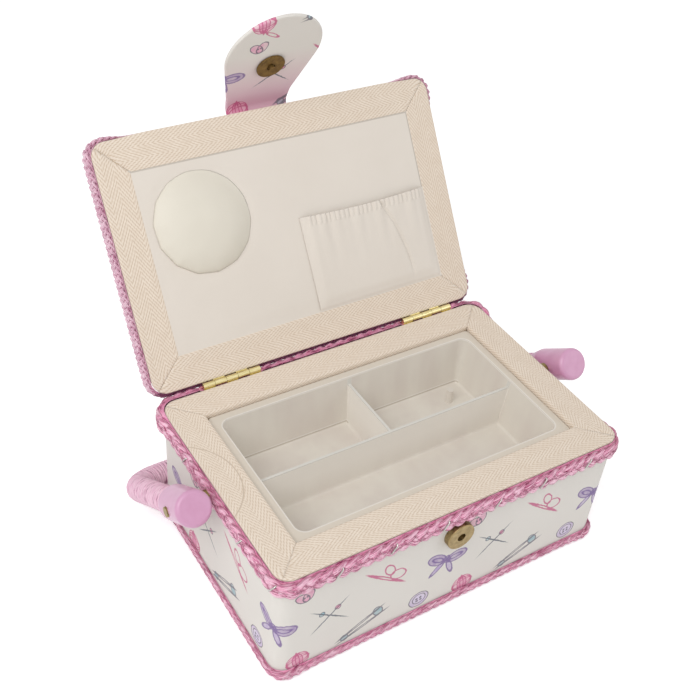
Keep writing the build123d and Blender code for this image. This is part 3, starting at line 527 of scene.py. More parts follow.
# Cloth on the box
wall = dict(box, low=0, high=0.0838, thickness=0.0008, slack=0.00018, lump=0.03, lean=0.6, tuck=0.0008,
            grid=(246, 60))
lining = dict(width=0.2202, depth=0.1372, corner=0.0042, low=0.0058, high=0.0755, thickness=0.0005,
              slack=0.0004, lump=0.02, lean=0, tuck=0, grid=(160, 18))


def placeRound(setting, a, b):
    # cloth round upright walls, a little slack between its edges and tucked in under the rim's tape
    around, height = a * lengthRound(setting), setting["low"] + b * (setting["high"] - setting["low"])
    point, outward = walkRound(setting, around)
    lumps = wander(point.x, point.y, height, setting["lump"]) - setting["lean"]
    slack = setting["slack"] * lumps * sin(pi * b) - setting["tuck"] * smooth(height, 0.0820, 0.0828)
    return point + outward * slack + upright * height, (around, height)


wallCover = makeCloth("wallCover", wall, partial(placeRound, wall), printedCotton, wall["thickness"])
settle(wallCover, "box", "printed_cotton", "outer_cover")

under = dict(inset=0.0003, height=0.0008, segments=8)
bm = bmesh.new()
addBlock(bm, box["width"] - under["inset"], box["depth"] - under["inset"], 0, under["height"], box["corner"],
         under["segments"])
uvLayer = bm.loops.layers.uv.new("UVMap")
for face in bm.faces:
    for loop in face.loops:
        loop[uvLayer].uv = loop.vert.co.xy
baseCloth = settle(makePiece("baseCloth", bm, printedCotton), "box", "printed_cotton", "base_cover")
baseCloth.data.shade_flat()

storageLining = makeCloth("storageLining", lining, partial(placeRound, lining), finishes["storage_lining"],
                          -lining["thickness"], True)
settle(storageLining, "box", "storage_lining", "wall_lining")
print("cloth on the box made")

# Tape frames on the rim and the lid: four mitred strips each. Side is 1 where the tape faces up
# and -1 where it faces down; seams say how deep each corner's join shows, from the front left one on
tape = dict(width=0.020, thickness=0.0006, skirt=0.0022, edge=0.0007, sag=0.00012, seamDrop=0.0005,
            seamWidth=0.0006, mitre=0.7071, step=0.0012, rows=30, bulgeHalf=0.104, bulgeFade=0.024,
            shift=(0.31, 0.0009))
rimTape = dict(tape, depth=box["depth"], middle=0, top=box["top"], side=1, turnIn=0.0042,
               seams=(0.45, 0.3, 0.12, 0.12), bulge=0, frontSkirt=0.0022)
lidTape = dict(tape, depth=lid["depth"], middle=lid["middle"], top=lid["face"], side=-1, turnIn=0,
               seams=(1.0, 0.5, 0.2, 0.25), bulge=0.0009, frontSkirt=0.0060)


def tapeProfile(setting, along):
    # along runs from the outer edge inwards: how far in it is, and how far down
    width, edge = setting["width"], setting["edge"]
    quarter = edge * pi / 4
    fromInner = along > width / 2
    t = width - along if fromInner else along
    if fromInner and not setting["turnIn"]:
        return along, 0.0004 * smooth(along, width - 0.001, width)
    if t > quarter:
        inwards, down = edge + t - quarter, 0.0
    elif t < -quarter:
        inwards, down = 0.0, edge - quarter - t
    else:
        angle = (t + quarter) / (2 * quarter) * pi / 2
        inwards, down = edge * (1 - cos(angle)), edge * (1 - sin(angle))
    return (width - inwards if fromInner else inwards), down


def addTapeStrip(bm, setting, quarter):
    width, depth, corner, isFront = setting["width"], setting["depth"], box["corner"], quarter == 0
    longSide, deepSide = (box["width"], depth) if quarter % 2 == 0 else (depth, box["width"])
    reach = longSide / 2 - corner + corner * cos(pi / 4)
    turn = Matrix.Rotation(quarter * pi / 2, 3, "Z")
    skirt = setting["frontSkirt"] if isFront else setting["skirt"]

    def place(a, b):
        along = -skirt + b * (skirt + width + setting["turnIn"])
        inwards, down = tapeProfile(setting, along)
        k = 2 * a - 1
        outerX, innerX = k * reach, k * (longSide / 2 - width)
        past = max(abs(outerX) - longSide / 2 + corner, 0)
        outerY = -(deepSide / 2 - corner) - sqrt(corner ** 2 - past ** 2)
        if isFront:  # over the bulk of the braid's front
            bulge = setting["bulge"] * smooth(setting["bulgeHalf"] - abs(outerX), 0, setting["bulgeFade"])
            outerY -= bulge * (1 - smooth(down, 0.0012, 0.0045))
        innerY = -(deepSide / 2 - width)
        share = inwards / width
        x, y = outerX + (innerX - outerX) * share, outerY + (innerY - outerY) * share
        toSeam = (1 - abs(k)) * longSide / 2 * setting["mitre"]
        sharp = setting["seams"][quarter if k < 0 else (quarter + 1) % 4]
        seam = setting["seamDrop"] * sharp * (1 - smooth(toSeam, 0, setting["seamWidth"] / sharp ** 0.5))
        seam *= smooth(share, 0, 0.1)
        puff = setting["sag"] * (wander(x * setting["side"], y, quarter, 0.012) - 1)
        puff *= sin(pi * min(max(share, 0), 1))
        height = setting["top"] - setting["side"] * (down + seam - puff)
        shiftX, shiftY = setting["shift"]  # each strip is cut from another stretch of tape
        return turn @ Vector((x, y, 0)) + Vector((0, setting["middle"], height)), (
            x + quarter * shiftX, along + shiftY * quarter)

    addSheet(bm, (int(longSide / setting["step"]), setting["rows"]), place, flip=setting["side"] < 0)


def makeTapeFrame(name, setting, matrix=None):
    bm = bmesh.new()
    for quarter in range(4):
        addTapeStrip(bm, setting, quarter)
    return giveThickness(makePiece(name, bm, herringboneTape, matrix), setting["thickness"])


rimTapeCloth = settle(makeTapeFrame("rimTapeCloth", rimTape), "box", "cotton_tape", "rim_tape")
lidTapeCloth = settle(makeTapeFrame("lidTapeCloth", lidTape, lidMatrix), "lid", "cotton_tape", "lid_tape")
print("tape frames made")

# Braids: strands that go over and under round an oblong. Rise, drop and out move the band,
# thin is the share it loses there, and shadedBack is how near the back its strands are in painted shade
rimBraid = dict(width=0.230, depth=0.147, corner=0.009, middle=0, low=0.0718, high=0.0834, backLow=0.0718,
                backOut=0.0018, backRise=0.0019, thickness=0.0035, strands=3, period=0.0225,
                strandHeight=0.0064, strandThickness=0.0022, ribbons=9, loose=0.0006, step=0.0012,
                strays=230, strayLength=0.011, frontRise=0, frontThin=0, rightDrop=0.0018, rightThin=0.3,
                rightRise=0, leftThin=0, shadedBack=None)
baseBraid = dict(rimBraid, low=0.0005, high=0.0065, backLow=0.0005, backOut=0, backRise=0, period=0.0165,
                 rightDrop=0, rightThin=0.25, frontThin=0.25, leftThin=0.35, strandHeight=0.0036,
                 strandThickness=0.0018, strays=150, strayLength=0.008)
lidBraid = dict(rimBraid, depth=0.149, middle=-0.0768, low=0.0015, high=0.0130, backLow=0.0033, backOut=0,
                backRise=0, thickness=0.0030, strands=5, period=0.0195, strandHeight=0.0042,
                strandThickness=0.0015, ribbons=6, loose=0.00012, step=0.0009, strays=0, frontRise=0.0045,
                frontThin=0.68, rightDrop=0, rightThin=0.55, rightRise=0.0022, shadedBack=0.0015)
braidBacking = dict(grid=(240, 16), off=0.0003, lift=0.0002)
stray = dict(radius=0.00022, points=7, margin=0.0004)
# How near the edges of the oblong a side's own shape begins and is full, and where it fades at its ends
zones = dict(backFrom=0.02, near=0.004, full=0.0005, frontHalf=0.106, frontFade=0.018, sideEnd=0.010,
             sideFade=0.015)
hinges = dict(middles=(-0.067, 0.077), halfFrom=0.0193, halfTo=0.0207)


def braidBand(setting, along):
    # where the band is this far round: its foot on the wall, the way out, its low and high edge,
    # its thickness and how far off the wall it stands
    base, outward = walkRound(setting, along)
    halfX, halfY = setting["width"] / 2, setting["depth"] / 2
    nearY, fullY, nearX, fullX = (half - zones[key] for half in (halfY, halfX) for key in ("near", "full"))
    back = smooth(base.y, halfY - zones["backFrom"], nearY)
    front = smooth(-base.y, nearY, fullY) * smooth(zones["frontHalf"] - abs(base.x), 0, zones["frontFade"])
    right = smooth(base.x, nearX, fullX)
    right *= smooth(halfY - zones["sideEnd"] - abs(base.y), 0, zones["sideFade"])
    left = smooth(-base.x, nearX, fullX)
    low = setting["low"] + (setting["backLow"] - setting["low"]) * back + setting["frontRise"] * front
    low += setting["rightRise"] * right
    clear = min(smooth(abs(base.x - middle), hinges["halfFrom"], hinges["halfTo"])
                for middle in hinges["middles"])
    high = setting["high"] + setting["backRise"] * back * clear - setting["rightDrop"] * right
    thin = setting["frontThin"] * front + setting["rightThin"] * right + setting["leftThin"] * left
    thick = setting["thickness"] * (1 - thin)
    return base + Vector((0, setting["middle"], 0)), outward, low, high, thick, setting["backOut"] * back


def strandProfile(setting):
    curve = bpy.data.curves.new("strandProfile", "CURVE")
    curve.dimensions = "2D"
    spline = curve.splines.new("POLY")
    count = 2 * setting["ribbons"] + 6
    spline.points.add(count - 1)
    for i, point in enumerate(spline.points):
        angle = 2 * pi * i / count
        ridge = 1 - (0.16 if i % 2 else 0.0)
        point.co = (setting["strandThickness"] / 2 * cos(angle) * ridge,
                    setting["strandHeight"] / 2 * sin(angle) * (1 - (1 - ridge) * 0.3), 0, 1)
    spline.use_cyclic_u = True
    return addObject("strandProfile", curve)


def strandPath(setting, strand, count, turns):
    around = lengthRound(setting)
    points = []
    for i in range(count):
        along = i / count * around
        angle = 2 * pi * (turns * i / count + strand / setting["strands"])
        base, outward, low, high, thick, extra = braidBand(setting, along)
        swing = (high - low - setting["strandHeight"] * 0.9) / 2
        sway = setting["loose"] * wander(along, strand * 0.31, 0, 0.006)
        height = (high + low) / 2 + swing * sin(angle) + sway
        room = max(thick - setting["strandThickness"], 0) / 2
        out = thick / 2 + room * sin((setting["strands"] - 1) * angle) + sway * 0.4 + extra
        points.append(base + outward * out + upright * height)
    return points


def strayPaths(setting):
    # single fibres that lie loose across the braid, each a shallow bow on its outer face
    around = lengthRound(setting)
    paths = []
    for i in range(setting["strays"]):
        start = (i + 0.8 * wander(i * 0.37, 2, 0, 1)) / setting["strays"] * around
        lean = (1 if i % 2 else -1) * (0.5 + 0.25 * wander(i * 0.73, 4, 0, 1))
        middle = 0.3 * wander(i * 0.91, 6, 0, 1)
        path = []
        for j in range(stray["points"]):
            t = j / (stray["points"] - 1) - 0.5
            base, outward, low, high, thick, extra = braidBand(setting, start + t * setting["strayLength"])
            height = (low + high) / 2 + (middle + lean * t) * (high - low) * 0.8
            height = min(max(height, low + stray["margin"]), high - stray["margin"])
            out = thick * (0.99 - 1.3 * t * t) + extra
            path.append(base + outward * out + upright * height)
        paths.append(path)
    return paths


def sweepStrands(paths, profile, closed, twist="Z_UP"):
    curve = bpy.data.curves.new("strand", "CURVE")
    curve.dimensions, curve.twist_mode = "3D", twist
    for points in paths:
        spline = curve.splines.new("POLY")
        spline.points.add(len(points) - 1)
        for spot, point in zip(spline.points, points):
            spot.co = (*point, 1)
        spline.use_cyclic_u = closed
    if isinstance(profile, float):
        curve.bevel_depth, curve.bevel_resolution, curve.use_fill_caps = profile, 1, not closed
    else:
        curve.bevel_mode, curve.bevel_object = "OBJECT", profile
    holder = addObject("strand", curve)
    mesh = bakedMesh(holder)
    bpy.data.objects.remove(holder)
    length = sum((b - a).length for a, b in zip(paths[0], paths[0][1:]))
    for loopUv in mesh.uv_layers[0].data:
        loopUv.uv = (loopUv.uv[0] * length, loopUv.uv[1] * girth)
    mesh.uv_layers[0].name = "UVMap"
    return mesh


def takeMesh(bm, mesh):
    bm.from_mesh(mesh)
    bpy.data.meshes.remove(mesh)


def makeBraid(name, setting, material, shadeMaterial, matrix=None):
    around = lengthRound(setting)
    turns, count = round(around / setting["period"]), int(around / setting["step"])
    profile = strandProfile(setting)
    bm = bmesh.new()
    for strand in range(setting["strands"]):
        takeMesh(bm, sweepStrands([strandPath(setting, strand, count, turns)], profile, True))
    if setting["strays"]:
        takeMesh(bm, sweepStrands(strayPaths(setting), stray["radius"], False))
    bpy.data.objects.remove(profile)
    halfY = setting["depth"] / 2

    def isShaded(face, otherwise):  # in the gap under the lid's tape
        if setting["shadedBack"] is None:
            return otherwise
        return int(face.calc_center_median().y > setting["middle"] + halfY - setting["shadedBack"])

    for face in bm.faces:
        face.material_index = isShaded(face, 0)

    def placeBacking(a, b):
        base, outward, low, high, thick, extra = braidBand(setting, a * around)
        back = smooth(base.y - setting["middle"], halfY - zones["backFrom"], halfY - zones["near"])
        full = max(sin(pi * b), 0) ** (0.5 - 0.35 * back)
        out = braidBacking["off"] + (thick * (0.3 + 0.55 * back) + extra) * full
        height = low + braidBacking["lift"] + b * (high - low - braidBacking["lift"])
        return base + outward * out + upright * height, (a * around, height)

    # a sheet behind the strands that fills the gaps between them, in the painted-shade material; on the lid
    # only near the back
    strip = addSheet(bm, braidBacking["grid"], placeBacking)
    for face in facesOf(strip):
        face.material_index = isShaded(face, 1)
    bmesh.ops.remove_doubles(bm, verts=strip, dist=weld["seam"])
    piece = makePiece(name, bm, material, matrix)
    piece.data.materials.append(shadeMaterial)
    return piece


settle(makeBraid("rimBraidPlait", rimBraid, raffiaPink, raffiaShade), "box", "raffia_braid", "rim_braid")
settle(makeBraid("baseBraidPlait", baseBraid, raffiaPink, raffiaShade), "box", "raffia_braid", "base_braid")
settle(makeBraid("lidBraidKnit", lidBraid, braidLilac, braidShade, lidMatrix), "lid", "lilac_braid",
       "lid_braid")

# Wire staples that hold the rim braid, each bent in at both ends
staples = dict(spacing=0.034, start=0.016, scatter=0.004, length=0.0066, radius=0.00045, lean=radians(58),
               out=0.0002, height=0.0782, spacerHalf=0.014,
               bends=((-1, -0.0022), (-1, -0.0002), (-0.8, 0.0002),
                      (0.8, 0.0002), (1, -0.0002), (1, -0.0022)))
wires = []
for i in range(int(lengthRound(box) / staples["spacing"])):
    spot = staples["start"] + i * staples["spacing"] + staples["scatter"] * wander(i * 0.6, 0, 0, 1)
    base, outward, low, high, thick, extra = braidBand(rimBraid, spot % lengthRound(box))
    if abs(base.y) < staples["spacerHalf"] and abs(base.x) > 0.11 or extra:
        continue  # a spacer of the handle is here, or the hinges
    along = Vector((-outward.y, outward.x, 0))
    lean = along * cos(staples["lean"]) + upright * sin(staples["lean"])
    middle = base + outward * (thick + staples["out"]) + upright * staples["height"]
    wires.append([middle + lean * (staples["length"] / 2 * share) + outward * out
                  for share, out in staples["bends"]])
bm = bmesh.new()
takeMesh(bm, sweepStrands(wires, staples["radius"], False))
settle(makePiece("braidStaples", bm, finishes["steel"]), "box", "steel")
print("braids made")

# The padded lid, swollen by a short cloth simulation
lidPad = dict(low=0.0020, top=0.0165, inset=0.0006, cornerSegments=6, edge=0.0065, edgeSegments=5,
              voxel=0.0036, pressure=4.0, cap=0.0030, pinBelow=0.0085, frames=20, quality=5, smoothing=3,
              fallBelow=0.003, fallFrom=0.006, cloth=(0.03, 0.02))


def swell(piece, setting):
    # a pressure cloth with its lower part held; moves further than the cap are cut back
    rest = [v.co.copy() for v in piece.data.vertices]
    group = piece.vertex_groups.new(name="held")
    group.add([v.index for v in piece.data.vertices if v.co.z < setting["pinBelow"]], 1.0, "REPLACE")
    cloth = piece.modifiers.new("cloth", "CLOTH")
    cloth.settings.vertex_group_mass = "held"
    cloth.settings.use_pressure, cloth.settings.uniform_pressure_force = True, setting["pressure"]
    cloth.settings.effector_weights.gravity = 0
    cloth.settings.quality = setting["quality"]
    cloth.point_cache.frame_start, cloth.point_cache.frame_end = 1, setting["frames"]
    for frameNumber in range(1, setting["frames"] + 1):
        scene.frame_set(frameNumber)
    applyModifiers(piece)
    scene.frame_set(1)
    for vert, start in zip(piece.data.vertices, rest):
        move = vert.co - start
        if move.length > setting["cap"]:
            vert.co = start + move.normalized() * setting["cap"]


bm = bmesh.new()
addBlock(bm, lid["width"] - lidPad["inset"], lid["depth"] - lidPad["inset"], lidPad["low"], lidPad["top"],
         lid["corner"], lidPad["cornerSegments"])
upper = [e for e in bm.edges if all(v.co.z > lidPad["top"] - 1e-6 for v in e.verts)]
bmesh.ops.bevel(bm, geom=upper, offset=lidPad["edge"], segments=lidPad["edgeSegments"], profile=0.5,
                affect="EDGES", material=-1)
lidPadding = makePiece("lidPaddedCover", bm, printedCotton)
remesh = lidPadding.modifiers.new("voxels", "REMESH")
remesh.mode, remesh.voxel_size = "VOXEL", lidPad["voxel"]
applyModifiers(lidPadding)
swell(lidPadding, lidPad)
rounding = lidPadding.modifiers.new("round", "SMOOTH")
rounding.factor, rounding.iterations = 0.5, lidPad["smoothing"]
finer = lidPadding.modifiers.new("finer", "SUBSURF")
finer.levels = finer.render_levels = 1
mesh = applyModifiers(lidPadding).data
refinish(mesh, printedCotton)
uvLayer = mesh.uv_layers.get("UVMap") or mesh.uv_layers.new(name="UVMap")
for loop in mesh.loops:  # the cloth runs over the top and down each side
    co = mesh.vertices[loop.vertex_index].co
    fall = max(lidPad["top"] - lidPad["fallBelow"] - co.z, 0)
    outX = abs(co.x) - lid["width"] / 2 + lidPad["fallFrom"]
    outY = abs(co.y) - lid["depth"] / 2 + lidPad["fallFrom"]
    sideways = smooth(outX - outY, -0.004, 0.004)
    shareX, shareY = sideways if outX > 0 else 0, 1 - sideways if outY > 0 else 0
    uvLayer.data[loop.index].uv = (co.x + copysign(fall * shareX, co.x) + lidPad["cloth"][0],
                                   co.y + copysign(fall * shareY, co.y) + lidPad["cloth"][1])
mesh.transform(lidMatrix @ Matrix.Translation((0, lid["middle"], 0)))
settle(lidPadding, "lid", "printed_cotton", "lid_cover", "lid_padding")
print("padded lid made")

# Inside of the lid: lining, pin cushion, pocket with its elastic
lidLining = dict(face=0.0007, width=0.1930, depth=0.1120, puff=0.0007, thickness=0.0003, grid=(150, 90))
cushion = dict(x=-0.060, y=-0.0943, radius=0.031, height=0.0090, sides=14, pucker=0.0003, lumps=0.0004,
               soft=-pi / 4, grid=(180, 40))
pocket = dict(x=0.0491, width=0.0942, low=-0.0212, high=-0.0823, bulge=0.0026, fold=0.0008, hem=0.0055,
              ruche=0.0005, crease=0.0012, dip=0.0016, fullness=1.12, thickness=0.0003, under=0.0014,
              wave=0.0135, ripple=0.0082, gather=0.0034, seam=0.0002, free=0.0008, grid=(160, 74))


def placeLidLining(a, b):
    x = (a - 0.5) * lidLining["width"]
    y = lid["middle"] + (b - 0.5) * lidLining["depth"]
    edge = min(a, 1 - a) * lidLining["width"], min(b, 1 - b) * lidLining["depth"]
    proud = lidLining["puff"] * smooth(min(edge), 0.001, 0.012) * (0.5 + 0.5 * wander(x, y, 0, 0.03))
    ring = hypot(x - cushion["x"], y - cushion["y"]) - cushion["radius"]
    proud *= smooth(abs(ring), 0, 0.006)  # drawn in round the cushion
    return Vector((x, y, lidLining["face"] - proud)), (x, y)


satinSheet = makeCloth("lidSatinLining", lidLining, placeLidLining, liningSatin, lidLining["thickness"], True,
                       lidMatrix)
settle(satinSheet, "lid", "satin_lining", "lid_lining")


def placeCushion(a, ratio):
    angle = 2 * pi * a
    stitch = 2 * pi / cushion["sides"]
    within = (angle + 0.3) % stitch - stitch / 2
    flatSide = cos(stitch / 2) / cos(within)  # a many-sided outline between the stitches
    soft = cos(angle - cushion["soft"])  # 1 where the edge sinks into the lining, -1 where it is drawn tight
    radius = cushion["radius"] * ratio * (1 + (flatSide - 1) * ratio ** 3 * (0.6 - 0.4 * soft))
    dome = cushion["height"] * (1 - ratio ** 2.2) ** (0.78 + (0.5 if soft > 0 else 0.12) * soft)
    pucker = cushion["pucker"] * cos(2 * pi * within / stitch) * ratio ** 6 * (1 - ratio)
    x, y = cushion["x"] + radius * cos(angle), cushion["y"] + radius * sin(angle)
    lumps = cushion["lumps"] * wander(x, y, 3, 0.012) * (1 - ratio ** 4)
    return Vector((x, y, lidLining["face"] - dome - pucker - lumps)), (x, y)


bm = bmesh.new()
addSheet(bm, cushion["grid"], placeCushion)
bmesh.ops.remove_doubles(bm, verts=bm.verts, dist=weld["tip"])
bmesh.ops.contextual_create(bm, geom=[e for e in bm.edges if e.is_boundary])
bmesh.ops.recalc_face_normals(bm, faces=bm.faces)
pinCushion = makePiece("pinCushionPad", bm, cushionSatin, lidMatrix)
settle(pinCushion, "lid", "satin_lining", "pin_cushion")


def placePocket(a, b):
    # b runs from the sewn bottom near the hinges to the open top edge
    long = pocket["low"] - pocket["high"]
    x = pocket["x"] + (a - 0.5) * pocket["width"]
    y = pocket["low"] + b * -long
    fromRight, fromBottom = (1 - a) * pocket["width"], b * long
    sewn = smooth(a * pocket["width"], 0, 0.007) * smooth(fromRight, pocket["under"], 0.009)
    sewn *= smooth(fromBottom, pocket["under"], 0.009)
    free = smooth(fromRight, 0.0009, 0.003) * smooth(fromBottom, 0.0009, 0.003)
    wave = sin(2 * pi * x / pocket["wave"] + 2.5 * wander(x, y, 1, 0.03))
    wave += 0.6 * sin(2 * pi * x / pocket["ripple"] + 1.3)
    folds = pocket["fold"] * sewn * wave * smooth(b, 0.25, 1.0) * 0.45
    hemShare = smooth(fromBottom, long - pocket["hem"] - 0.001, long - pocket["hem"])
    ruche = pocket["ruche"] * sin(2 * pi * x / pocket["gather"] + wander(x, 0, 0, 0.01)) * hemShare * sewn
    crease = 1 - smooth(abs(x - pocket["x"] - 0.026 + 0.016 * b ** 2), 0, 0.0018)
    crease *= pocket["crease"] * smooth(b, 0.02, 0.3)
    lift = pocket["bulge"] * sewn * (0.35 + 0.65 * b) + folds + ruche - crease
    dip = pocket["dip"] * sin(pi * a) * b ** 6
    height = lidLining["face"] + pocket["seam"] - pocket["free"] * free - max(lift, 0.0)
    return Vector((x, y + dip, height)), (x * pocket["fullness"], y)


satinPocket = makeCloth("lidPocket", pocket, placePocket, satinCream, -pocket["thickness"], matrix=lidMatrix)
settle(satinPocket, "lid", "satin_lining", "pocket", "pocket_elastic")
print("inside of the lid made")

# The tab: one smooth bent piece of covered card, parted between its folds. Folds and cuts are
# distances from its sewn end
tab = dict(x=-0.002, start=(-0.1515, 0.0135), rootHalf=0.0205, neckHalf=0.022, head=0.031, rootFold=0.0036,
           midFold=0.0126, tipFold=0.0521, rootCut=0.0081, headCut=0.0300, centre=0.0506,
           rootBend=radians(53), midBend=radians(8), thickness=0.0022, round=0.0012, step=0.00025,
           steps=340, grid=(48, 120), cloth=(0.060, 0.008), rootSpread=0.003, midSpread=0.004,
           rootBlend=0.0028, midBlend=0.0035, tipBlend=(0.005, 0.006))
tabBends = []  # place and bend at each step from the sewn end
at = Vector((0, *tab["start"]))
for i in range(tab["steps"]):
    s = i * tab["step"]
    bend = 0
    for fold in ("root", "mid"):
        middle, spread = tab[fold + "Fold"], tab[fold + "Spread"]
        bend += tab[fold + "Bend"] * smooth(s, middle - spread, middle + spread)
    tabBends.append((at.copy(), bend))
    at += Vector((0, -cos(bend), -sin(bend))) * tab["step"]
slant = hypot(tab["neckHalf"], tab["centre"] - tab["midFold"])
neckAngle = acos(tab["head"] / slant) - acos(tab["neckHalf"] / slant)


def atTab(distance):
    return tabBends[min(int(distance / tab["step"]), len(tabBends) - 1)]


def placeTab(a, b, face):
    # face is 1 on the side that shows with the lid open and -1 on the other; they meet in a round edge
    joinHalf, joinAt = tab["head"] * cos(neckAngle), tab["centre"] + tab["head"] * sin(neckAngle)
    rootHalf, neckHalf, midFold = tab["rootHalf"], tab["neckHalf"], tab["midFold"]
    if b < 0.5:
        s = b / 0.5 * joinAt
        if s < midFold:
            half = rootHalf + (neckHalf - rootHalf) * s / midFold
        else:
            half = neckHalf + (joinHalf - neckHalf) * (s - midFold) / (joinAt - midFold)
    else:
        angle = neckAngle + (pi / 2 - neckAngle) * (b - 0.5) / 0.5
        s, half = tab["centre"] + tab["head"] * sin(angle), max(tab["head"] * cos(angle), 0)
    k = 2 * a - 1
    k = copysign(1 - (1 - abs(k)) ** 1.8, k)
    edge = (1 - abs(k)) * half if s < joinAt else tab["head"] - hypot(k * half, s - tab["centre"])
    rise = tab["thickness"] / 2 * sqrt(1 - (1 - min(max(edge / tab["round"], 0), 1)) ** 2)
    point, bend = atTab(s)
    normal = Vector((0, sin(bend), -cos(bend)))
    x = tab["x"] + k * half
    return point + Vector((x, 0, 0)) + normal * (face * rise - tab["thickness"] / 2), (
        x + tab["cloth"][0], s + tab["cloth"][1])


def cutTab(name, near, far, *replaced):
    # the stretch of the tab between two distances from its sewn end
    bm = bmesh.new()
    for face in (1, -1):
        addSheet(bm, tab["grid"], lambda a, b: placeTab(a, b, face), flip=face < 0)
    bmesh.ops.remove_doubles(bm, verts=bm.verts, dist=weld["tip"])
    for distance, keepFar in ((near, True), (far, False)):
        if distance is None:
            continue
        point, bend = atTab(distance)
        bmesh.ops.bisect_plane(bm, geom=bm.verts[:] + bm.edges[:] + bm.faces[:], plane_co=point,
                               plane_no=Vector((0, -cos(bend), -sin(bend))), clear_inner=keepFar,
                               clear_outer=not keepFar)
    for face in bmesh.ops.holes_fill(bm, edges=bm.edges[:], sides=0)["faces"]:
        for edge in face.edges:
            edge.smooth = False
    piece = makePiece(name, bm, tabCotton, lidMatrix)
    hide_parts(*replaced)
    return piece


tabSewnEnd = cutTab("tabSewnEnd", None, tab["rootCut"], "tab_anchor", "tab_link")
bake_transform(tabSewnEnd)
tabHeadCloth = cutTab("tabHeadCloth", tab["rootCut"], tab["headCut"], "tab_cover")
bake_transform(tabHeadCloth)
tabTipCloth = cutTab("tabTipCloth", tab["headCut"], None, "tab_tip")
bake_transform(tabTipCloth)
print("tab made")

# The handle's winding: paper cord wound round the bent bar
handle = dict(arm=0.132, pivot=(0, 0.003, 0.0765), lean=radians(-37.5), reach=0.1050, bend=0.024,
              start=0.0155, radius=0.0066, cord=0.00128, pitch=0.00250, perTurn=16, uneven=0.0006,
              proud=0.00022)
armAlong = Vector((0, cos(handle["lean"]), sin(handle["lean"])))
armAcross = Vector((0, -sin(handle["lean"]), cos(handle["lean"])))
armStraight, bendLength = handle["reach"] - handle["bend"] - handle["start"], handle["bend"] * pi / 2
bailLength = 2 * (armStraight + bendLength) + 2 * (handle["arm"] - handle["bend"])


def alongBail(distance):
    # centre and the direction that points out of the bend, this far from the left cap
    mirror = distance > bailLength / 2
    s = bailLength - distance if mirror else distance
    arm, reach, bend = handle["arm"], handle["reach"], handle["bend"]
    if s < armStraight:
        flat, out = Vector((-arm, handle["start"] + s)), Vector((-1, 0))
    elif s < armStraight + bendLength:
        angle = pi - (s - armStraight) / bend
        out = Vector((cos(angle), sin(angle)))
        flat = Vector((-arm + bend, reach - bend)) + bend * out
    else:
        flat, out = Vector((-arm + bend + s - armStraight - bendLength, reach)), Vector((0, 1))
    if mirror:
        flat.x, out.x = -flat.x, -out.x
    centre = Vector(handle["pivot"]) + Vector((flat.x, 0, 0)) + armAlong * flat.y
    return centre, Vector((out.x, 0, 0)) + armAlong * out.y


points, middles = [], []
for i in range(floor(bailLength / handle["pitch"]) * handle["perTurn"] + 1):
    s = i / handle["perTurn"] * handle["pitch"]
    uneven = handle["uneven"] * wander(s, 0, 0, 0.006)
    centre, out = alongBail(min(s + uneven, bailLength))
    angle = 2 * pi * i / handle["perTurn"]
    radius = handle["radius"] + handle["proud"] * wander(s, 5, 0, 0.003)
    points.append(centre + radius * (out * cos(angle) + armAcross * sin(angle)))
    middles.append(centre)
mesh = sweepStrands([points], handle["cord"], False, "MINIMUM")
mesh.name = "handleWinding"
# groove drives the painted shade in the cord's grooves
groove = mesh.attributes.new("groove", "FLOAT", "POINT")  # 0 at the bar, 1 at the outermost of the cord
ringSize = len(mesh.vertices) // len(points)
for vert in mesh.vertices:
    depth = (vert.co - middles[min(vert.index // ringSize, len(points) - 1)]).length - handle["radius"]
    groove.data[vert.index].value = min(max(0.5 + depth / handle["cord"] / 2, 0), 1)
refinish(mesh, paperCord)
settle(addObject("handleWinding", mesh), "handle", "paper_cord", "handle_wrap")
print("handle made")

# Floor, light and camera
studio = dict(floor=3.0, under=0.0002, world=0.60, lift=0.4, key=8.0, fill=1.8)


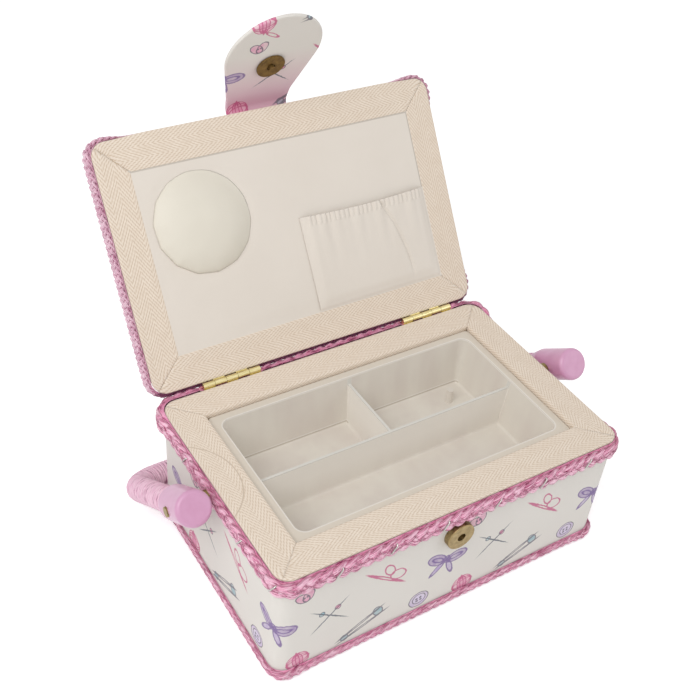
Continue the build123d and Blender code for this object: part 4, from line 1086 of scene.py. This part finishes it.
def seenRays(add):
    # 1 for what is seen straight on or in gloss and glass, 0 for what only lights the object
    rays = add("LightPath", {}).outputs
    seen = add("Math", "MAXIMUM", rays["Is Camera Ray"], rays["Is Glossy Ray"])
    return add("Math", "MAXIMUM", seen, rays["Is Transmission Ray"])


floorMaterial, add, at = startMaterial("paleFloor", None)
shine = add("Math", "MULTIPLY", seenRays(add), studio["lift"])
finishMaterial(floorMaterial, "#F4F4F4", {
    "Roughness": 0.9, "Emission Color": (1, 1, 1, 1), "Emission Strength": shine})
bm = bmesh.new()
bmesh.ops.create_grid(bm, x_segments=1, y_segments=1, size=studio["floor"])
makePiece("floor", bm, floorMaterial, Matrix.Translation((0, 0, -studio["under"])))

scene.world = bpy.data.worlds.new("paleRoom")
scene.world.use_nodes = True
scene.world.node_tree.nodes.clear()
add = partial(addNode, scene.world.node_tree)
strength = add("MapRange", {}, seenRays(add), 0.0, 1.0, studio["world"], 1.0)
add("OutputWorld", {}, add("Background", {}, (1, 1, 1, 1), strength))


def addLamp(name, place, aim, size, power):
    light = bpy.data.lights.new(name, "AREA")
    light.shape, light.size, light.energy = "DISK", size, power
    lamp = addObject(name, light)
    lamp.location = place
    lamp.rotation_euler = (Vector(aim) - Vector(place)).to_track_quat("-Z", "Y").to_euler()


addLamp("leftSoftbox", (-0.75, -0.35, 1.05), (0, 0, 0.06), 0.9, studio["key"])
addLamp("rightFill", (1.0, -0.7, 0.6), (0, 0, 0.08), 0.8, studio["fill"])

view = dict(place=(-0.2869, -0.3533, 0.5091), right=(0.84858, -0.52304, 0.07962),
            down=(-0.28229, -0.57488, -0.76800), forward=(0.44747, 0.62923, -0.63548), lens=54.23,
            sensor=36.0, near=0.01)
camera = bpy.data.cameras.new("camera")
camera.lens, camera.sensor_width, camera.clip_start = view["lens"], view["sensor"], view["near"]
scene.camera = addObject("camera", camera)
turned = Matrix((view["right"], [-c for c in view["down"]], [-c for c in view["forward"]])).transposed()
scene.camera.matrix_world = Matrix.Translation(view["place"]) @ turned.to_4x4()
scene.view_settings.view_transform = "Standard"
